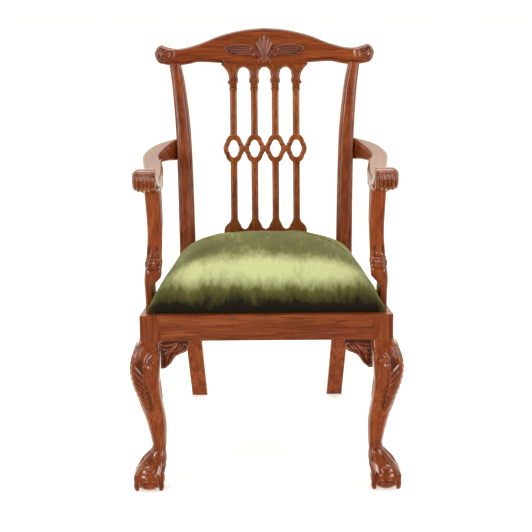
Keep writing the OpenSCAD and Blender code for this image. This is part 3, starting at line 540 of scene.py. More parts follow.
def closedSlab(points, recess, rows):
    # front and back grids joined round as one ring of stations, the two long edges stitched
    cols = points.shape[1]
    total = len(points) + 1
    i, j = np.meshgrid(np.arange(total - 1), np.arange(cols - 1), indexing="ij")
    up = (i + 1) % (total - 1)
    quads = np.stack([i * cols + j, i * cols + j + 1, up * cols + j + 1, up * cols + j], -1).reshape(-1, 4)
    a = np.arange(rows - 1)
    opposite = 2 * rows - 1 - a
    sides = [np.stack([a * cols + k, (a + 1) * cols + k, (opposite - 1) * cols + k, opposite * cols + k], -1)
             for k in (0, cols - 1)]
    sides[0] = sides[0][:, ::-1]
    quads = np.vstack([quads] + [s[:, ::-1] for s in sides])
    verts = points.reshape(-1, 3)
    faces = np.vstack([quads[:, [0, 1, 2]], quads[:, [0, 2, 3]]])
    volume = np.einsum("ij,ij->i", verts[faces[:, 0]], np.cross(verts[faces[:, 1]], verts[faces[:, 2]])).sum()
    if volume < 0:
        quads = quads[:, ::-1]
    return {"verts": verts, "quads": quads, "tris": np.zeros((0, 3), int), "recess": recess.ravel()}


def mirroredStrokes(strokes):
    return strokes + [(rise, [(-x, z, w) for x, z, w in points]) for rise, points in strokes]


makePiece("crest_board", crestSkins(), woodAcross, nodes=["crest_rail"])
makePiece("crest_carving", [carvedPanel(mirroredStrokes(fanLeaves + wingLeaves), np.linspace(-103, 103, 300),
                                        np.linspace(1, 78, 118),
                                        lambda x, z, h: onBack(x, crestFoot + z, -crest["proud"] - h),
                                        ceiling=lambda x: crestLines(x)[0] - crestFoot - 11)], woodAcross)
print("crest rail")

# Splat: four bars, arches with a beaded edge, capitals, rings of four crescents, and a spreading foot
splat = {"pitch": 52.4, "bar": 17.5, "thick": 13.0, "ringUp": 38 + 0.53 * (crestFoot - 38),
         "bead": 3.1, "archRise": 17.0, "archHalf": 15.0, "archUp": crestFoot - 22}


def flatSweep(across, up, halfWide, front, back, radius, pattern, recess=None):
    # section across the bar at each height of the leaning plane
    x, d = sectionPoints(pattern, halfWide, np.full(len(up), (back - front) / 2), radius)
    return shell(onBack(x + np.reshape(across, (-1, 1)), np.reshape(up, (-1, 1)), d + (front + back) / 2),
                 recess=recess)


def pathSweep(path, halfWide, front, back, radius, pattern, recess=None):
    # section carried along a path (across, up) of the leaning plane, square to it
    ahead = np.gradient(path, axis=0)
    ahead /= np.linalg.norm(ahead, axis=1)[:, None]
    side = np.stack([-ahead[:, 1], ahead[:, 0]], 1)
    halfWide = np.broadcast_to(halfWide, len(path))
    x, d = sectionPoints(pattern, halfWide, np.full(len(path), (back - front) / 2),
                         np.broadcast_to(radius, len(path)))
    place = path[:, None] + side[:, None] * x[..., None]
    return shell(onBack(place[..., 0], place[..., 1], d + (front + back) / 2), recess=recess)


def splatSkins():
    p = splat
    skins, gap, ring, top = [], (p["pitch"] - p["bar"]) / 2, p["ringUp"], crestFoot
    bar, fine = sectionPattern(6, 9, 3), sectionPattern(7, 5, 3)
    for k in (-1.5, -0.5, 0.5, 1.5):
        x = k * p["pitch"]
        sign = np.sign(k) if abs(k) > 1 else 0
        # upper and lower shafts, darkened with painted shade towards their ends
        for low, high in ((ring + 30, top - 55), (90, ring - 30)):
            up = np.linspace(low, high, 40)
            wide = p["bar"] / 2 + 0.7 * np.exp(-((up - low) / 9) ** 2) + 0.7 * np.exp(-((high - up) / 9) ** 2)
            shade = 0.35 * np.exp(-((up - low) / 7) ** 2) + 0.35 * np.exp(-((high - up) / 7) ** 2)
            skins.append(flatSweep(np.full(40, x), up, wide, 0.4, p["thick"], np.full(40, 4.6), bar,
                                   shade[:, None]))
        # necking ring and the reeded block of the capital, with painted shade in the grooves between its
        # rings
        for low, high, wide, proud, dark in ((top - 62, top - 57, 10.6, 1.6, 0.0),
                                             (top - 57, top - 54.5, 9.2, 0.6, 0.7),
                                             (top - 54.5, top - 50, 10.0, 1.3, 0.1),
                                             (top - 50, top - 48, 9.2, 0.5, 0.75),
                                             (top - 48, top - 43, 9.9, 1.1, 0.15),
                                             (top - 43, top - 40, 9.5, 0.4, 0.6)):
            up = np.linspace(low, high, 7)
            belly = np.sqrt(np.clip(1 - ((up - (low + high) / 2) / ((high - low) / 2 + 0.3)) ** 2, 0, 1))
            skins.append(flatSweep(np.full(7, x), up, wide - 1.2 + 1.2 * belly, -proud, p["thick"],
                                   np.full(7, 2.2),
                                   fine, np.full((7, 1), dark)))
        # spandrel above the capital: from one arch to the next, or to the flared outer edge
        up = np.concatenate([np.linspace(top - 42, top - 22, 18),
                             top - 22 + 17 * np.sin(np.linspace(0, math.pi / 2, 24)),
                             np.linspace(top - 4.5, top + 1.5, 4)])
        arch = np.where(up < p["archUp"], valueAlong([(top - 42, 17.6), (top - 36, 13), (top - 30, 14.4),
                                                      (top - 22, 15)], up),
                        p["archHalf"] * np.sqrt(np.clip(1 - ((up - p["archUp"]) / p["archRise"]) ** 2, 0, 1)))
        inner = p["pitch"] / 2 - arch - 0.6
        flare = valueAlong([(top - 42, 9.5), (top - 34, 10.5), (top - 24, 12), (top - 12, 17.5),
                            (top + 2, 30)], up) - 0.8
        right = np.where(sign > 0, flare, inner)
        left = np.where(sign < 0, flare, inner)
        skins.append(flatSweep(x + (right - left) / 2, up, (right + left) / 2, 0.8, p["thick"],
                               np.full(len(up), 1.5), bar))
        # spreading foot
        up = np.concatenate([np.linspace(26, 70, 12), 72 + np.linspace(0, 1, 10) ** 2 * 6,
                             np.linspace(79, 98, 16)])
        notch = np.interp(up, [71.5, 71.8, 72.6, 74, 77, 81, 88, 95, 98],
                          [0, 3.4, 5.6, 7.2, 8.4, 10.2, 14.2, 17.2, gap])
        inner = p["pitch"] / 2 - notch
        outer = valueAlong([(26, 26), (60, 26), (70, 25.6), (79, 21.5), (88, 12.5), (98, 8.75)], up)
        right = np.where(sign > 0, outer, inner)
        left = np.where(sign < 0, outer, inner)
        skins.append(flatSweep(x + (right - left) / 2, up, (right + left) / 2, 0.2, p["thick"],
                               np.full(len(up), 2.6), bar))
        # ring: side crescents, and top and bottom ones that lie over their ends; painted shade darkens each
        # crescent's ends
        for middle in (0, 180):
            a = np.radians(np.linspace(middle - 44, middle + 44, 26))
            share = np.linspace(-1, 1, 26)
            path = np.stack([x + 19.8 * np.cos(a), ring + 23.0 * np.sin(a)], 1)
            skins.append(pathSweep(path, 6.6 - 1.2 * share ** 2, 0.3, p["thick"] - 1.4, 3.2, fine,
                                   0.92 * (share ** 16)[:, None]))
        for way in (1, -1):
            a = np.radians(np.linspace(-9, 189, 44))
            share = np.linspace(-1, 1, 44)
            path = np.stack([x + (14.6 + 2.2 * share ** 8) * np.cos(a),
                             ring + way * (12.0 + 17.0 * np.sin(a))], 1)
            girth = 5.3 + 2.0 * (1 - share ** 2) + 0.5 * share ** 8
            skins.append(pathSweep(path, girth, -2.2, p["thick"] - 0.3, 3.2, fine,
                                   0.92 * (share ** 16)[:, None]))
    # joints between neighbouring rings, lightly darkened with painted shade
    for k in (-1, 0, 1):
        up = np.linspace(ring - 8, ring + 8, 16)
        wide = 4.6 - 2.2 * np.abs(np.linspace(-1, 1, 16)) ** 2
        skins.append(flatSweep(np.full(16, k * p["pitch"]), up, wide, 0.2, p["thick"] - 1,
                               np.full(16, 2.0), fine, np.full((16, 1), 0.2)))
    # beads along the arches, with a small turned-out point at each end, and along the flared edges; a thin
    # strip just outside each arch bead carries a painted dark shade line
    turn = np.linspace(0, math.pi / 2, 18)
    half = np.concatenate([np.array([(gap - 2.2, top - 46.5), (gap - 4.6, top - 42), (gap - 3.6, top - 37),
                                     (gap - 1.4, top - 30)]) + [2.6, 0],
                           np.stack([(p["archHalf"] + 2.6) * np.cos(turn),
                                     p["archUp"] + (p["archRise"] + 2.6) * np.sin(turn)], 1)])
    half = smoothLine(half, 3)
    arc = np.concatenate([half, half[-2::-1] * [-1, 1]])
    for k in (-1, 0, 1):
        ends = np.minimum(np.arange(len(arc)), np.arange(len(arc))[::-1])
        girth = p["bead"] * np.clip(0.35 + ends / 10, 0, 1)
        skins.append(pathSweep(arc + [k * p["pitch"], 0], girth, -0.9, p["thick"] - 0.5, girth * 0.85, fine))
        skins.append(pathSweep(arc * [1 + 4.4 / 17, 1] + [k * p["pitch"], 4.0], 0.9, 0.2, 6, 0.7, fine,
                               np.full((1, 1), 0.85)))
    for side in (-1, 1):
        path = smoothLine([(9.5, top - 46), (13.2, top - 43), (10.0, top - 38), (9.6, top - 30),
                           (11.8, top - 20), (18, top - 9),
                           (30, top + 4)], 8) * [1, 1]
        path[:, 0] = side * (1.5 * p["pitch"] + path[:, 0] - 1.6)
        skins.append(pathSweep(path, 2.8, -0.9, p["thick"] - 0.5, 2.3, fine))
    return skins


makePiece("splat_fretwork", splatSkins(), woodSplat, nodes=["splat"])
easedCopy("splat_shoe", woodAcross, 2.2)
print("splat")

# Seat rails keep their plain shape with eased edges
for node, material, radius in (("front_rail", woodAcross, 1.6), ("rear_rail", woodAcross, 1.6),
                               ("left_side_rail", woodDeep, 1.6), ("right_side_rail", woodDeep, 1.6),
                               ("rear_seat_ledge", beech, 1.0), ("front_left_corner_block", beech, 1.0),
                               ("front_right_corner_block", beech, 1.0),
                               ("rear_left_corner_block", beech, 1.0),
                               ("rear_right_corner_block", beech, 1.0)):
    easedCopy(node, material, radius)
print("rails")

# Front legs: rounded squares about the leg's diagonal; a web runs down over the ball between four claws
leg = {"ball": 32.5, "ballUp": 32.0, "footMid": 281.0, "archUp": 28.0, "square": 2.8}
legHalf = [(0, 35), (20, 36.2), (36, 36.2), (48, 34), (62, 28.5), (74, 22.5), (86, 18.6), (98.3, 17),
           (110, 17.4), (166, 23.5), (227, 26.5),
           (276, 31.2), (317.5, 34), (351.5, 29.9), (378, 23.7)]
legMid = [(0, 281), (20, 281), (36, 280.5), (48, 277), (62, 270.5), (74, 264.5), (86, 259.5), (98.3, 257),
          (110, 256.5), (166, 261),
          (227, 271.5), (276, 279.7), (317.5, 281), (351.5, 275.9), (378, 269.2)]
legRound = [(0, 0.95), (36, 0.95), (62, 0.95), (83, 0.95), (110, 1), (166, 0.85), (227, 0.5), (276, 0.34),
            (317.5, 0.3), (351.5, 0.26),
            (378, 0.22)]
# Knee leaf: distance from the outer corner along the face, height, half width
kneeStrokes = [(1.3, [(3, 366, 1.1), (2.5, 348, 1.5), (4, 330, 1.1)]),
               (1.3, [(7.5, 366, 1.1), (6.5, 348, 1.5), (8, 332, 1.1)]),
               (1.3, [(12, 366, 1.1), (10.5, 350, 1.5), (12, 336, 1.1)]),
               (1.1, [(16, 364, 1.0), (14.5, 351, 1.3), (16, 340, 1.0)]),
               (3.2, [(32, 322, 4.2), (38, 316, 6.0), (46, 322, 6.2), (45, 332, 5.5), (37, 333, 4.0)]),
               (2.6, [(31, 327, 2.4), (31, 342, 2.6), (38, 354, 2.8), (50, 360, 2.8), (64, 357, 2.4)]),
               (1.8, [(37, 339, 1.6), (44, 349, 1.8), (56, 351, 1.8), (66, 346, 1.4)])]
kneeStrokes += [(2.6 - 0.12 * k, [(11 - 0.3 * k, 322 - 15 * k, 1.6), (17 - 0.7 * k, 313 - 15 * k, 2.8),
                                  (24 - 1.3 * k, 303 - 15 * k, 3.0),
                                  (30 - 2.0 * k, 292 - 15 * k, 1.8)]) for k in range(8)]
kneeStrokes += [(1.8, [(30 - 2.1 * k, 318 - 15 * k, 1.8), (33 - 2.2 * k, 310 - 15 * k, 2.6),
                       (30 - 2.2 * k, 302 - 15 * k, 2.0)])
                for k in range(7)]


def legSkins():
    p = leg
    pattern = sectionPattern(14, 8, 8, 44, 44)
    turn = np.arctan2((pattern[:, 1] + pattern[:, 3]) * 1.25, pattern[:, 0] + pattern[:, 2])
    # the web's lower edge rises to an arch between each two claws
    arch = 3 + p["archUp"] * np.abs(np.cos(2 * turn)) ** 0.62
    share = np.concatenate([np.linspace(0, 0.78, 210), np.linspace(0.785, 1, 60)])[:, None]
    z = 379 - share * (379 - arch)
    h = valueAlong(legHalf, z)
    mid = valueAlong(legMid, z)
    roundness = valueAlong(legRound, z)
    # the ball is squarer than a sphere: radius * (1 - |height / radius|^n)^(1 / n), n being "square"
    grip = p["ball"] + 3.6
    ball = grip * np.clip(1 - np.abs((z - p["ballUp"]) / grip) ** p["square"], 0, 1) ** (1 / p["square"])
    h = np.where(z < 36, np.minimum(h, ball + 0.4), h)
    x = pattern[:, 0] * h + pattern[:, 2] * h * roundness
    y = pattern[:, 1] * h + pattern[:, 3] * h * roundness
    # the carving sits on the two outer faces, measured from the corner between them
    corner = np.abs(x + y)
    outwardness = np.clip(((x - y) / h + 0.35) * 2.2, 0, 1)
    outwardness = outwardness * np.clip((z - 185) / 12, 0, 1) * np.clip((374 - z) / 5, 0, 1)
    carve = strokeHeight(corner, z, kneeStrokes)
    ground = np.clip(1 - np.abs(corner - 21) / 15, 0, 1)
    ground = ground * np.clip((z - 195) / 20, 0, 1) * np.clip((345 - z) / 15, 0, 1)
    lift = (carve - 1.1 * ground * (carve < 0.05)) * outwardness
    # the web sinks a little in the middle and is edged by a rim along the arch
    above = z - arch
    rim = 1.4 * np.exp(-(above / 2.6) ** 2) * (z < 60)
    hollow = 0.5 * np.abs(np.cos(2 * turn)) ** 2 * np.exp(-((z - 74) / 16) ** 2)
    outward = np.stack([x, y], -1) / np.hypot(x, y)[..., None]
    x = x + outward[..., 0] * (lift + rim - hollow)
    y = y + outward[..., 1] * (lift + rim - hollow)
    points = np.stack([x + mid, chair["halfWidth"] - mid + y, np.broadcast_to(z, x.shape)], -1)
    # painted shade on the sunk ground of the knee carving
    tone = np.clip(1 - carve / 1.6, 0, 1) * outwardness * np.clip(ground * 1.6, 0, 1) * 0.8
    # the lower edge turns in to the ball, its turned-in edge in painted shade
    centre = np.array([p["footMid"], chair["halfWidth"] - p["footMid"], 0])
    inside = points[-1:] * 1.0
    inside[..., :2] = centre[:2] + (inside[..., :2] - centre[:2]) * 0.86
    points = np.concatenate([points, inside])
    tone = np.concatenate([tone, np.full((1, tone.shape[1]), 0.9)])
    skins = [shell(points, recess=tone)]
    # ball, flat where it stands, with painted shade under the web's edge and where it meets the floor
    polar, spin = np.meshgrid(np.linspace(0.02, math.pi - 0.02, 40),
                              np.linspace(0, 2 * math.pi, 64, endpoint=False), indexing="ij")
    ballZ = np.maximum(p["ballUp"] + p["ball"] * np.cos(polar), 0.3)
    girth = p["ball"] * np.clip(1 - np.abs(np.cos(polar)) ** p["square"], 0, 1) ** (1 / p["square"])
    sphere = np.stack([centre[0] + girth * np.cos(spin), centre[1] + girth * np.sin(spin), ballZ], -1)
    ballShade = 0.55 * np.exp(-((ballZ - 30) / 6) ** 2) + 0.5 * np.exp(-(ballZ / 3) ** 2)
    skins.append(shell(sphere, recess=ballShade))
    # claws: tubes that swell at three joints, with a groove down their backs; painted shade in the groove and
    # on their inner sides
    drop = smoothLine([(114, 11.5, 4.2), (100, 13.5, 5.6), (86, 16.5, 7.0), (74, 21.5, 8.6),
                       (62, 27.5, 9.6), (50, 31.0, 8.2), (38, 33.0, 9.4),
                       (24, 34.2, 8.0), (12, 34.4, 7.6), (3.5, 33.6, 5.0)], 6)
    # low down the claws spread sideways more than fore and aft
    spread = np.interp(drop[:, 0], [20, 70, 100], [34, 40, 45]) * math.pi / 180
    for sx, sy in ((1, 1), (1, -1), (-1, 1), (-1, -1)):
        mid = valueAlong(legMid, drop[:, 0])
        axis = np.stack([mid + sx * drop[:, 1] * np.cos(spread),
                         chair["halfWidth"] - mid + sy * drop[:, 1] * np.sin(spread), drop[:, 0]], -1)
        ahead = np.gradient(axis, axis=0)
        ahead /= np.linalg.norm(ahead, axis=1)[:, None]
        diagonal = np.array([sx, sy, 0]) / math.sqrt(2)
        out = diagonal - ahead * (ahead @ diagonal)[:, None]
        out /= np.linalg.norm(out, axis=1)[:, None]
        cross = np.cross(ahead, out)
        a = np.linspace(-math.pi, math.pi, 28, endpoint=False)
        girth = drop[:, 2:3] * (1 - 0.09 * np.exp(-(a / 0.36) ** 2))
        ring = np.cos(a)[None, :, None] * out[:, None] + np.sin(a)[None, :, None] * cross[:, None] * 0.86
        tube = axis[:, None] + girth[..., None] * ring
        tube[..., 2] = np.maximum(tube[..., 2], 0.2)
        tone = 0.45 * np.exp(-(a / 0.3) ** 2)[None, :] + 0.6 * np.clip(np.abs(a) - 1.3, 0, 1)[None, :]
        skins.append(shell(tube, recess=np.broadcast_to(tone, girth.shape)))
    return skins


legMade = legSkins()
bothSides("cabriole_leg", legMade, woodUpright, "front_leg")
for side in ("left", "right"):
    easedCopy(f"{side}_front_leg", woodUpright, 1.8, above=0.3782, name=f"{side}_leg_block", stands=False)
print("front legs")

# Knee brackets: columns outwards from the block, each rounded, from the curved lower edge to the rail
bracket = {"thick": 26.0}
bracketStrokes = [(3.0, [(2.5, -64 + 7.6 * k, 2.3), (2.6, -62.5 + 7.6 * k, 2.3)]) for k in range(9)]
bracketStrokes += [(3.0, [(6, -64, 2.0), (16, -60, 2.4), (24, -48, 2.6), (36, -35, 2.8), (50, -28, 2.6),
                          (60, -19, 2.8), (60, -11, 2.6),
                          (54, -9, 2.0)]),
                   (3.4, [(8, -58, 1.6), (14, -48, 2.6), (18, -36, 2.6), (16, -26, 1.8)]),
                   (3.2, [(8, -46, 1.6), (14, -38, 2.4), (22, -30, 2.8), (24, -20, 1.8)]),
                   (3.4, [(8, -34, 1.6), (15, -30, 2.4), (26, -26, 3.0), (34, -16, 2.2)]),
                   (3.2, [(8, -23, 1.6), (18, -21, 2.6), (30, -18, 2.8), (40, -10, 2.0)]),
                   (3.0, [(8, -13, 1.6), (18, -12, 2.4), (30, -9, 2.4), (40, -5, 1.6)]),
                   (3.4, [(26, -42, 1.6), (31, -32, 2.6), (39, -22, 2.8), (47, -12, 2.0)]),
                   (3.0, [(38, -32, 1.4), (44, -24, 2.4), (52, -16, 2.4), (54, -10, 1.8)])]


def bracketSkin(place):
    low = [(0, -70), (9, -69), (22, -58), (36, -39), (58, -28), (66, -17)]
    across = np.concatenate([np.linspace(0, 60, 70), 60 + 5.8 * np.sin(np.linspace(0.1, math.pi / 2, 12))])
    lower = valueAlong(low, across)
    lower = np.maximum(lower, -69.5) + 6 * np.clip((across - 62) / 4, 0, 1) ** 2
    half = -lower / 2 + 0.4
    deep = bracket["thick"] / 2 * np.sqrt(np.clip(1 - np.clip((across - 58) / 9, 0, 1) ** 2 * 0.5, 0, 1))
    z, d = sectionPoints(sectionPattern(6, 64, 5), half, deep, np.minimum(3.5, half * 0.5))
    z = z + (lower / 2 + 0.4)[:, None]
    x = np.broadcast_to(across[:, None], z.shape)
    onFront = np.clip((-d - deep[:, None] + 2) / 2, 0, 1) * np.clip(x / 1.5, 0, 1)
    carve = strokeHeight(x, z, bracketStrokes)
    d = d + onFront * (2.2 - carve)
    # painted shade on the sunk ground around the carved leaves
    tone = onFront * np.clip(1 - carve / 1.8, 0, 1) * 0.95
    return shell(place(x, z + chair["railFoot"], d + bracket["thick"] / 2), recess=tone)


slope = math.atan(chair["taper"])


def frontPlace(x, z, d):
    return np.stack([chair["blockIn"] + 0.5 - x, d, z], -1)


def sidePlace(x, z, d):
    # along the side rail from the block, d in from its outer face
    return np.stack([sideX(47) - x * math.sin(slope) - d * math.cos(slope),
                     46.5 + x * math.cos(slope) - d * math.sin(slope), z], -1)


bothSides("front_knee", [bracketSkin(frontPlace)], woodAcross, "front_bracket")
bothSides("side_knee", [bracketSkin(sidePlace)], woodDeep, "side_bracket")
print("knee brackets")

# Arms: sections square to the depth between two plan lines, then a reeded scroll across the front
arm = {"scrollX": 277.6, "scrollY": 86.0, "scrollZ": 738.0, "radius": 27.0, "half": 26.5,
       "volute": 24.2, "noseVolute": 17.6, "edge": 9.0}


def armSkins():
    p = arm
    y = np.concatenate([np.linspace(92, 180, 60), np.linspace(183, 512, 110)])
    outer = valueAlong([(86, 302), (112, 298), (150, 290), (200, 283.5), (250, 284), (312, 294),
                        (369, 300.6), (403, 299),
                        (447, 286), (480, 266), (512, 230)], y)
    inner = valueAlong([(86, 251), (120, 248), (186, 241.5), (230, 242), (285, 245), (331, 250.5),
                        (364, 258), (407, 253.5),
                        (456, 239.5), (490, 228), (512, 214)], y)
    top = valueAlong([(86, 764), (108, 755), (150, 721), (216, 717), (340, 719), (539, 729)], y)
    under = valueAlong([(86, 730), (108, 716), (146, 689), (216, 686), (300, 689), (400, 692), (456, 685),
                        (500, 675), (539, 672)], y)
    radius = np.interp(y, [92, 140, 200, 512], [12, 12, p["edge"], p["edge"] - 3])
    x, z = sectionPoints(sectionPattern(8, 30, 8), (outer - inner) / 2, (top - under) / 2, radius)
    depth = np.broadcast_to(y[:, None], x.shape)
    onTop = np.clip((z - (top - under)[:, None] / 2 + 1.5) / 1.5, 0, 1)
    # two drop-shaped flutes run back from the scroll, darkened with painted shade
    flutes = strokeHeight(x - np.clip(0.12 * (depth - 120), -3, 3), depth,
                          [(3.4, [(-9.5, 96, 3.6), (-8.5, 118, 3.6), (-7, 138, 2.4), (-6, 150, 0.9)]),
                           (3.4, [(9.5, 96, 3.6), (8, 114, 3.4), (7, 130, 2.2), (6, 142, 0.9)])])
    z = z - onTop * flutes + onTop * 0.8 * (1 - (x / (outer - inner)[:, None] * 2) ** 2)
    points = np.stack([x + ((outer + inner) / 2)[:, None], depth, z + ((top + under) / 2)[:, None]], -1)
    skins = [shell(points, recess=onTop * np.clip(flutes / 2.4, 0, 1) * 0.75)]
    # scroll: five reeds on the front and under side, the top left smooth, the inner end drawn in
    across = np.linspace(-p["half"], p["half"], 110)
    a = np.linspace(0, 2 * math.pi, 96, endpoint=False)
    u, w = np.meshgrid(across, a, indexing="ij")
    reach = (p["half"] - u) / (2 * p["half"] - 9)
    reed = np.where(reach < 1, np.abs(np.sin(math.pi * 5 * np.clip(reach, 0, 1) ** 0.94)), 0)
    around = np.mod(w - math.pi * 0.5, 2 * math.pi)
    cut = np.clip((around - 0.68) / 0.4, 0, 1) * np.clip((4.2 - around) / 0.5, 0, 1)
    ends = np.sqrt(np.clip(1 - (np.clip(np.abs(u) - p["half"] + 4, 0, 4) / 4.2) ** 2, 0, 1))
    # the outer end is rounded over a long way
    nose = np.clip((u - p["half"] + 15) / 15, 0, 1) ** 2
    inset = np.clip((reach - 0.97) / 0.2, 0, 1)
    radius = p["radius"] - 3.0 * cut * (1 - reed ** 0.6) - 3.5 * (1 - ends) * (u < 0)
    radius = radius - 8.5 * nose - 4.0 * inset * cut
    roll = np.stack([p["scrollX"] + u, p["scrollY"] + radius * np.cos(w) * 0.98,
                     p["scrollZ"] + radius * np.sin(w)], -1)
    # painted shade between the reeds and in the drawn-in end
    skins.append(shell(roll, recess=np.maximum(0.85 * cut * (1 - reed) ** 2, 0.4 * inset * cut)))
    # volutes: a spiral ridge on each end of the scroll, with painted shade between its turns
    r, w = np.meshgrid(np.linspace(1, 0.02, 26), a, indexing="ij")
    for side in (-1, 1):
        ridge = 0.5 + 0.5 * np.cos(2 * math.pi * (2.4 * r - side * w / (2 * math.pi)))
        boss = 2.4 * np.exp(-(r / 0.22) ** 2)
        lift = 1.8 * ridge * np.clip((1 - r) * 8, 0, 1) + boss - 1.6 * (r > 0.97)
        wide = p["noseVolute"] if side > 0 else p["volute"]
        disc = np.stack([p["scrollX"] + side * (p["half"] - 1.6 + lift), p["scrollY"] + wide * r * np.cos(w),
                         p["scrollZ"] + wide * r * np.sin(w)], -1)
        back = disc[:1] * 1.0
        back[..., 0] -= side * 6
        skins.append(shell(np.concatenate([back, disc]),
                           recess=np.concatenate([np.zeros((1, 96)), 0.75 * (1 - ridge)])))
    return skins


bothSides("arm_rest", armSkins(), woodDeep, "arm")
print("arms")

# Arm supports: sections level with the floor; a beaded collar, flutes above it and a tongue below
support = {"low": 392.0, "high": 708.0, "edge": 10.0, "collar": 541.0}


def supportSkins():
    p = support
    z = np.concatenate([np.linspace(p["low"], 500, 50), np.linspace(502, 600, 90),
                        np.linspace(602, p["high"], 50)])
    outer = valueAlong([(392, 281.5), (466, 282.5), (503, 283.5), (550, 278), (614, 274.5), (706, 279.5)], z)
    inner = valueAlong([(392, 257.5), (466, 257.5), (490, 257.5), (494, 257), (500, 251.5), (506, 246.5),
                        (514, 244), (556, 242), (629, 239.5), (706, 243)], z)
    front = valueAlong([(392, 76), (440, 70), (506, 67), (598, 84), (706, 96)], z)
    back = valueAlong([(392, 114), (440, 120), (506, 112), (598, 128), (706, 164)], z)
    radius = np.interp(z, [392, 440, 480, 700], [6, 8, p["edge"], p["edge"]])
    pattern = sectionPattern(9, 8, 10)
    x, y = sectionPoints(pattern, (outer - inner) / 2, (back - front) / 2, radius)
    turn = np.arctan2(y, x)
    height = np.broadcast_to(z[:, None], x.shape)
    off = height - p["collar"]
    forward = np.clip(-np.sin(turn) + 0.5, 0, 1)
    # collar: two thin rings with a row of beads between them
    ring = np.exp(-((off - 9) / 2.2) ** 2) + np.exp(-((off + 8) / 2.4) ** 2)
    beads = np.exp(-(off / 5.5) ** 4) * (0.55 + 0.45 * np.cos(11 * turn))
    rise = 2.3 * ring + 2.9 * beads
    flutes = 1.8 * np.exp(-((off - 29) / 11) ** 4) * np.clip(np.cos(7 * turn + 0.6), 0, 1) * forward
    tongue = 1.7 * np.exp(-((off + 24) / 10) ** 2) * (0.6 + 0.4 * np.cos(5 * turn)) * forward
    groove = 0.9 * np.exp(-((off + 13.5) / 1.8) ** 2) + 0.9 * np.exp(-((off - 14) / 1.6) ** 2)
    move = rise * (0.35 + 0.65 * forward) - flutes + tongue - groove
    x, y = x + np.cos(turn) * move, y + np.sin(turn) * move
    points = np.stack([x + ((outer + inner) / 2)[:, None], y + ((front + back) / 2)[:, None], height], -1)
    # below the seat's top edge the support keeps clear of the seat
    well = sideX(points[..., 1]) - chair["lip"] + 0.4
    points[..., 0] = np.where(height < 494, np.maximum(points[..., 0], well), points[..., 0])
    # painted shade in the grooves, the flutes and between the beads of the collar
    tone = np.clip(0.8 * groove + 0.5 * flutes + 0.8 * np.exp(-(off / 5.5) ** 4)
                   * (0.5 - 0.5 * np.cos(11 * turn)), 0, 0.9)
    return [shell(points, recess=tone)]


bothSides("arm_stem", supportSkins(), woodUpright, "arm_support")
print("arm supports")

# Drop-in seat: the cover and its stuffing
seat = {"gap": 1.6, "foot": 426.2, "square": 452.0, "crown": 95.0, "hem": 30.0, "snap": 4.5, "voxel": 0.0055,
        "pressure": 3.0, "cap": 0.007, "cloth": 1.3, "frames": 18}


def seatPlan(u, v, inset=0.0):
    # u across and v in depth, -1 to 1, on the well's outline set in by gap and inset
    g = seat["gap"] + inset
    y0, y1 = chair["lip"] + g, chair["seatDepth"] - g
    y = y0 + (v + 1) / 2 * (y1 - y0)
    return u * (sideX(y) - chair["lip"] - g), y


def crownHeight(u, v, rise):
    # sqrt((1 - |u|^3) (1 - |v|^3)) times the rise, over the square top of the seat's edge
    dome = np.clip(1 - np.abs(u) ** 3, 0, 1) * np.clip(1 - np.abs(v) ** 3, 0, 1)
    return seat["square"] + rise * np.sqrt(dome)


def seatBlock(inset, rise, foot, n=64):
    # a closed pillow: the crown on top, straight sides and a flat underside, from one square grid
    side = np.sin(np.linspace(-math.pi / 2, math.pi / 2, n))
    u, v = np.meshgrid(side, side, indexing="ij")
    # a rounded square keeps the corners soft
    pull = 1 - 0.004 * (np.abs(u) ** 8) * (np.abs(v) ** 8)
    x, y = seatPlan(u * pull, v * pull, inset)
    top = np.stack([x, y, crownHeight(u, v, rise) - inset * 0.5], -1)
    i, j = np.meshgrid(np.arange(n - 1), np.arange(n - 1), indexing="ij")
    quads = np.stack([i * n + j, (i + 1) * n + j, (i + 1) * n + j + 1, i * n + j + 1], -1).reshape(-1, 4)
    rim = np.concatenate([np.arange(n - 1) * n, (n - 1) * n + np.arange(n - 1),
                          (n * n - 1) - np.arange(n - 1) * n,
                          (n - 1) - np.arange(n - 1)])
    topPts = top.reshape(-1, 3)
    walls = [topPts[rim] * [1, 1, 0] + [0, 0, z] for z in np.linspace(seat["square"] - 3, foot, 6)]
    under = topPts * [1, 1, 0] + [0, 0, foot]
    verts, base = np.vstack([topPts] + walls[:-1] + [under]), n * n
    m = len(rim)
    k = np.arange(m)
    loops = [rim] + [base + m * w + k for w in range(len(walls) - 1)] + [base + m * (len(walls) - 1) + rim]
    bands = [np.stack([a[k], b[k], b[(k + 1) % m], a[(k + 1) % m]], -1)
             for a, b in zip(loops[:-1], loops[1:])]
    quads = np.vstack([quads] + bands + [quads[:, ::-1] + base + m * (len(walls) - 1)])
    faces = np.vstack([quads[:, [0, 1, 2]], quads[:, [0, 2, 3]]])
    volume = np.einsum("ij,ij->i", verts[faces[:, 0]], np.cross(verts[faces[:, 1]], verts[faces[:, 2]])).sum()
    if volume < 0:
        quads = quads[:, ::-1]
    return {"verts": verts, "quads": quads, "tris": np.zeros((0, 3), int), "recess": np.zeros(len(verts))}


def pointsOf(mesh):
    co = np.empty(len(mesh.vertices) * 3, np.float32)
    mesh.vertices.foreach_get("co", co)
    return co.reshape(-1, 3).astype(float)


def setPoints(mesh, points):
    mesh.vertices.foreach_set("co", points.astype(np.float32).ravel())
    mesh.update()


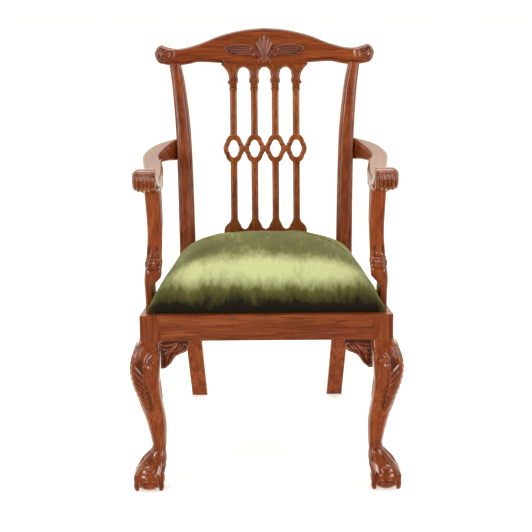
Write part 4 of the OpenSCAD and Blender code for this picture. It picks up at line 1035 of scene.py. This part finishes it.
def swell(obj):
    # cloth under pressure with the seat's square edge held, and the movement capped
    scene = bpy.context.scene
    remesh = obj.modifiers.new("evenMesh", "REMESH")
    remesh.mode, remesh.voxel_size = "VOXEL", seat["voxel"]
    bpy.context.view_layer.objects.active = obj
    bpy.ops.object.modifier_apply(modifier=remesh.name)
    rest = pointsOf(obj.data)
    held = obj.vertex_groups.new(name="held")
    low = np.nonzero(rest[:, 2] < (seat["square"] - 2) / 1000)[0]
    held.add(low.tolist(), 1.0, "REPLACE")
    cloth = obj.modifiers.new("cover", "CLOTH")
    cloth.settings.quality = 5
    cloth.settings.mass = 0.3
    cloth.settings.tension_stiffness = cloth.settings.compression_stiffness = 12
    cloth.settings.bending_stiffness = 0.4
    cloth.settings.use_pressure = True
    cloth.settings.uniform_pressure_force = seat["pressure"]
    cloth.settings.vertex_group_mass = "held"
    cloth.settings.effector_weights.gravity = 0
    cloth.collision_settings.use_collision = False
    for step in range(1, seat["frames"] + 1):
        scene.frame_set(step)
    bpy.ops.object.modifier_apply(modifier=cloth.name)
    moved = pointsOf(obj.data) - rest
    size = np.linalg.norm(moved, axis=1)[:, None]
    setPoints(obj.data, rest + moved * np.minimum(1, seat["cap"] / np.maximum(size, 1e-9)))
    scene.frame_set(1)
    print("cushion cloth moved up to", round(float(size.max()) * 1000, 1), "mm, kept to", seat["cap"] * 1000)


def dress(obj):
    # small pulls and creases of the cover: strokes of height over the crown, and as "nap" the lay of the nap
    # together with a painted highlight band and painted shade
    co = pointsOf(obj.data)
    x, y, z = co[:, 0] * 1000, co[:, 1] * 1000 + chair["middle"], co[:, 2] * 1000
    free = np.clip((z - 455) / 18, 0, 1)
    pulls = [(2.6, [(-236, 26, 3), (-214, 60, 6), (-190, 95, 4)]),
             (2.2, [(-250, 50, 3), (-228, 78, 5), (-215, 110, 3)]),
             (2.2, [(-205, 22, 3), (-190, 48, 5), (-172, 70, 3)]),
             (2.0, [(-160, 20, 3), (-152, 42, 5), (-140, 60, 3)]),
             (2.6, [(236, 26, 3), (216, 58, 6), (196, 88, 4)]),
             (1.8, [(205, 22, 3), (192, 46, 5), (176, 66, 3)]),
             (2.4, [(60, 372, 8), (100, 330, 10), (150, 290, 9), (190, 250, 5)]),
             (1.6, [(-80, 380, 6), (-120, 340, 8), (-150, 310, 5)])]
    lift = strokeHeight(x, y, pulls) * free
    wave = 0.8 * np.sin(x / 23 + 1.5 * np.sin(y / 60)) * np.sin(y / 31 + x / 90) * free
    edge = 1.1 * np.sin(np.arctan2(y - 216, x) * 26) * np.clip(1 - np.abs(z - 466) / 16, 0, 1)
    normals = np.empty(len(obj.data.vertices) * 3, np.float32)
    obj.data.vertices.foreach_get("normal", normals)
    co += normals.reshape(-1, 3) * ((lift + wave + edge) / 1000)[:, None]
    # the skirt stays inside the well, and fills its corners where it comes within "snap" of them
    snap = seat["snap"] / 1000
    limit = (sideX(co[:, 1] * 1000 + chair["middle"]) - chair["lip"] - seat["gap"]) / 1000
    low = co[:, 2] < 0.455
    near = low & (limit - np.abs(co[:, 0]) < snap)
    co[:, 0] = np.where(near, np.sign(co[:, 0]) * limit,
                        np.where(low, np.clip(co[:, 0], -limit, limit), co[:, 0]))
    front = (chair["lip"] + seat["gap"] - chair["middle"]) / 1000
    rear = (chair["seatDepth"] - seat["gap"] - chair["middle"]) / 1000
    co[:, 1] = np.where(low, np.clip(co[:, 1], front, rear), co[:, 1])
    co[:, 1] = np.where(low & (co[:, 1] - front < snap), front,
                        np.where(low & (rear - co[:, 1] < snap), rear, co[:, 1]))
    co[:, 2] = np.where(low, np.maximum(co[:, 2], seat["foot"] / 1000), co[:, 2])
    setPoints(obj.data, co)
    brushed = 0.16 * np.sin(y / 37 + 0.9 * np.sin(x / 55)) + 0.12 * np.sin(x / 48 + y / 70)
    # painted highlight: a bright sheen band across the front of the crown
    paintedSheenBand = np.exp(-((y - 84) / 56) ** 2) * np.clip((z - 474) / 40, 0, 1)
    # painted shade darkens the front towards the rail, and the two sides stay pale
    frontal = np.clip(1 - (y - 14) / 80, 0, 1) * np.clip((sideX(y) - np.abs(x) - 6) / 34, 0.1, 1)
    shade = np.clip((506 - z) / 52, 0, 1) ** 1.15 * frontal
    nap = 0.09 + 0.47 * paintedSheenBand * (1 - 0.7 * shade) + 0.22 * brushed * free
    # the painted shade is taken off, and a little more painted shade towards the back
    nap = nap - 0.42 * shade - 0.05 * np.clip((y - 170) / 120, 0, 1)
    layer = obj.data.attributes.get("nap") or obj.data.attributes.new("nap", "FLOAT", "POINT")
    layer.data.foreach_set("value", nap.astype(np.float32))


def openUnderside(obj):
    # the cover is cut away inside its hem, then given the cloth's thickness inwards
    work = bmesh.new()
    work.from_mesh(obj.data)
    level = (seat["foot"] + 0.6) / 1000
    gone = []
    for f in work.faces:
        c = f.calc_center_median()
        y = c.y * 1000 + chair["middle"]
        inside = min(sideX(y) - chair["lip"] - seat["gap"] - abs(c.x) * 1000, y - chair["lip"] - seat["gap"],
                     chair["seatDepth"] - seat["gap"] - y)
        if c.z < level and inside > seat["hem"]:
            gone.append(f)
    bmesh.ops.delete(work, geom=gone, context="FACES")
    work.to_mesh(obj.data)
    work.free()
    wall = obj.modifiers.new("cloth", "SOLIDIFY")
    wall.thickness, wall.offset = seat["cloth"] / 1000, -1


# points a side of the cover's grid
grid = 64
cover = makePiece("seat_cover", [seatBlock(0.0, seat["crown"] - 3, seat["foot"], grid)], velvetCloth,
                  body="drop_in_seat")
swell(cover)
dress(cover)
openUnderside(cover)
cover.data.polygons.foreach_set("use_smooth", np.full(len(cover.data.polygons), True))
finer = cover.modifiers.new("finer", "SUBSURF")
finer.levels = finer.render_levels = 1
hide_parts("velvet_cover")
pad = makePiece("seat_stuffing", [seatBlock(9.0, seat["crown"] - 16, 449.0, 40)], wadding,
                body="drop_in_seat",
                nodes=["stuffing"])
print("cushion")


def dustSheet():
    # a flat sheet with its edges folded under and a slight sag: depth * (1 - u^2) (1 - v^2)
    n = 60
    u, v = np.meshgrid(np.linspace(-1, 1, n), np.linspace(-1, 1, n), indexing="ij")
    x, y = seatPlan(u, v, 16 - seat["gap"])
    chamfer = np.clip((np.abs(u) + np.abs(v) - 1.86), 0, 1)
    x, y = x * (1 - chamfer * 0.55), (y - 216) * (1 - chamfer * 0.75) + 216
    sag = 1.4 * (1 - u ** 2) * (1 - v ** 2) + 0.25 * np.sin(x / 9) * np.clip(1 - np.abs(v), 0, 1)
    fold = 0.35 * np.exp(-((np.minimum(1 - np.abs(u), 1 - np.abs(v)) - 0.03) / 0.02) ** 2)
    low = np.stack([x, y, 425.25 - sag * 0.6 - fold * 0.3], -1)
    high = low + [0, 0, 0.55]
    points = np.concatenate([low, high[::-1]])
    return closedSlab(points, np.zeros(points.shape[:2]), n)


sheet = makePiece("dust_sheet", [dustSheet()], blackCotton, body="drop_in_seat", nodes=["dust_cover"])

for node in ("seat_front_member", "seat_back_member", "seat_left_member", "seat_right_member"):
    easedCopy(node, beech, 0.6, body="drop_in_seat")
for node, material in (("lengthwise_webbing", jute), ("crosswise_webbing", jute),
                       ("hessian", hessianCloth), ("cover_tacks", tackSteel),
                       ("corner_block_screws", screwSteel), ("arm_screws", screwSteel),
                       ("arm_support_screws", screwSteel),
                       ("ledge_screws", screwSteel), ("arm_screw_plugs", woodUpright)):
    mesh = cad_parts[node].data
    mesh.materials.clear()
    mesh.materials.append(material)
print("underside and fixings")

# Floor, light and camera
stage = {"room": 0.1, "backdrop": 1.15, "key": 58.0, "fill": 38.0, "overhead": 15.0, "top": 16.0,
         "floorGlow": 0.5, "front": 9.0,
         "warm": (1.0, 0.95, 0.8)}
bpy.ops.mesh.primitive_plane_add(size=30, location=(0, 0, 0))
floor = bpy.context.object
floor.name = "floor"
paper, tree, shader = nodeTree("palePaper")
speck = addNode(tree, "ShaderNodeTexNoise", {"Scale": 300, "Detail": 3})
tone = colourRamp(tree, (speck, "Fac"), [(0.2, (0.93, 0.93, 0.93)), (0.8, (0.97, 0.97, 0.97))])
tree.links.new(tone.outputs[0], shader.inputs["Base Color"])
shader.inputs["Roughness"].default_value = 0.9
shader.inputs["Emission Color"].default_value = (1, 1, 1, 1)
shader.inputs["Emission Strength"].default_value = stage["floorGlow"]
floor.data.materials.append(paper)
floor.visible_glossy = False  # the studio's dark front, not the paper, shows in the polish

world = bpy.data.worlds.new("studio")
bpy.context.scene.world = world
world.use_nodes = True
tree = world.node_tree
place = addNode(tree, "ShaderNodeTexCoord")
split = addNode(tree, "ShaderNodeSeparateXYZ", {"Vector": (place, "Generated")})
share = addNode(tree, "ShaderNodeMapRange", {"Value": (split, "Y"), "From Min": -0.1, "From Max": 0.2,
                                             "To Min": stage["room"],
                                             "To Max": stage["backdrop"]})
path = addNode(tree, "ShaderNodeLightPath")
seen = addNode(tree, "ShaderNodeMath", {0: (path, "Is Camera Ray"), 1: (share, "Result")},
               operation="MAXIMUM")
tree.links.new(seen.outputs[0], tree.nodes["Background"].inputs["Strength"])
warm = mixColour(tree, "MIX", (path, "Is Camera Ray"), (*stage["warm"], 1), (1, 1, 1, 1))
tree.links.new(warm.outputs[2], tree.nodes["Background"].inputs["Color"])


def softBox(name, location, aim, size, power):
    data = bpy.data.lights.new(name, "AREA")
    data.shape, data.size, data.size_y, data.energy = "RECTANGLE", size[0], size[1], power
    light = bpy.data.objects.new(name, data)
    bpy.context.scene.collection.objects.link(light)
    light.location = location
    light.rotation_euler = (Vector(aim) - Vector(location)).to_track_quat("-Z", "Y").to_euler()
    return light


softBox("keyBox", (-2.6, -2.4, 2.3), (0, 0, 0.6), (1.2, 1.8), stage["key"])
softBox("fillBox", (2.7, -2.2, 2.0), (0, 0, 0.6), (1.0, 1.8), stage["fill"])
softBox("leftWindow", (-1.5, -3.3, 1.25), (0, 0, 0.5), (0.45, 0.8), stage["front"])
softBox("rightWindow", (1.7, -3.1, 1.25), (0, 0, 0.5), (0.3, 0.8), stage["front"] * 0.6)
softBox("overheadStrip", (0, 0.9, 2.6), (0, -0.2, 0.7), (2.4, 0.25), stage["overhead"])
softBox("topBox", (0, -0.4, 3.2), (0, 0, 0.4), (2.2, 1.6), stage["top"])

camera = {"place": (0.0, -3.988, 1.795), "pitch": 18.5, "roll": 0.45, "lens": 115.95}
data = bpy.data.cameras.new("camera")
data.lens, data.sensor_width = camera["lens"], 36
eye = bpy.data.objects.new("camera", data)
bpy.context.scene.collection.objects.link(eye)
eye.location = camera["place"]
eye.rotation_euler = (Matrix.Rotation(math.radians(90 - camera["pitch"]), 4, "X")
                      @ Matrix.Rotation(math.radians(-camera["roll"]), 4, "Z")).to_euler()
bpy.context.scene.camera = eye
bpy.context.scene.view_settings.view_transform = "Standard"
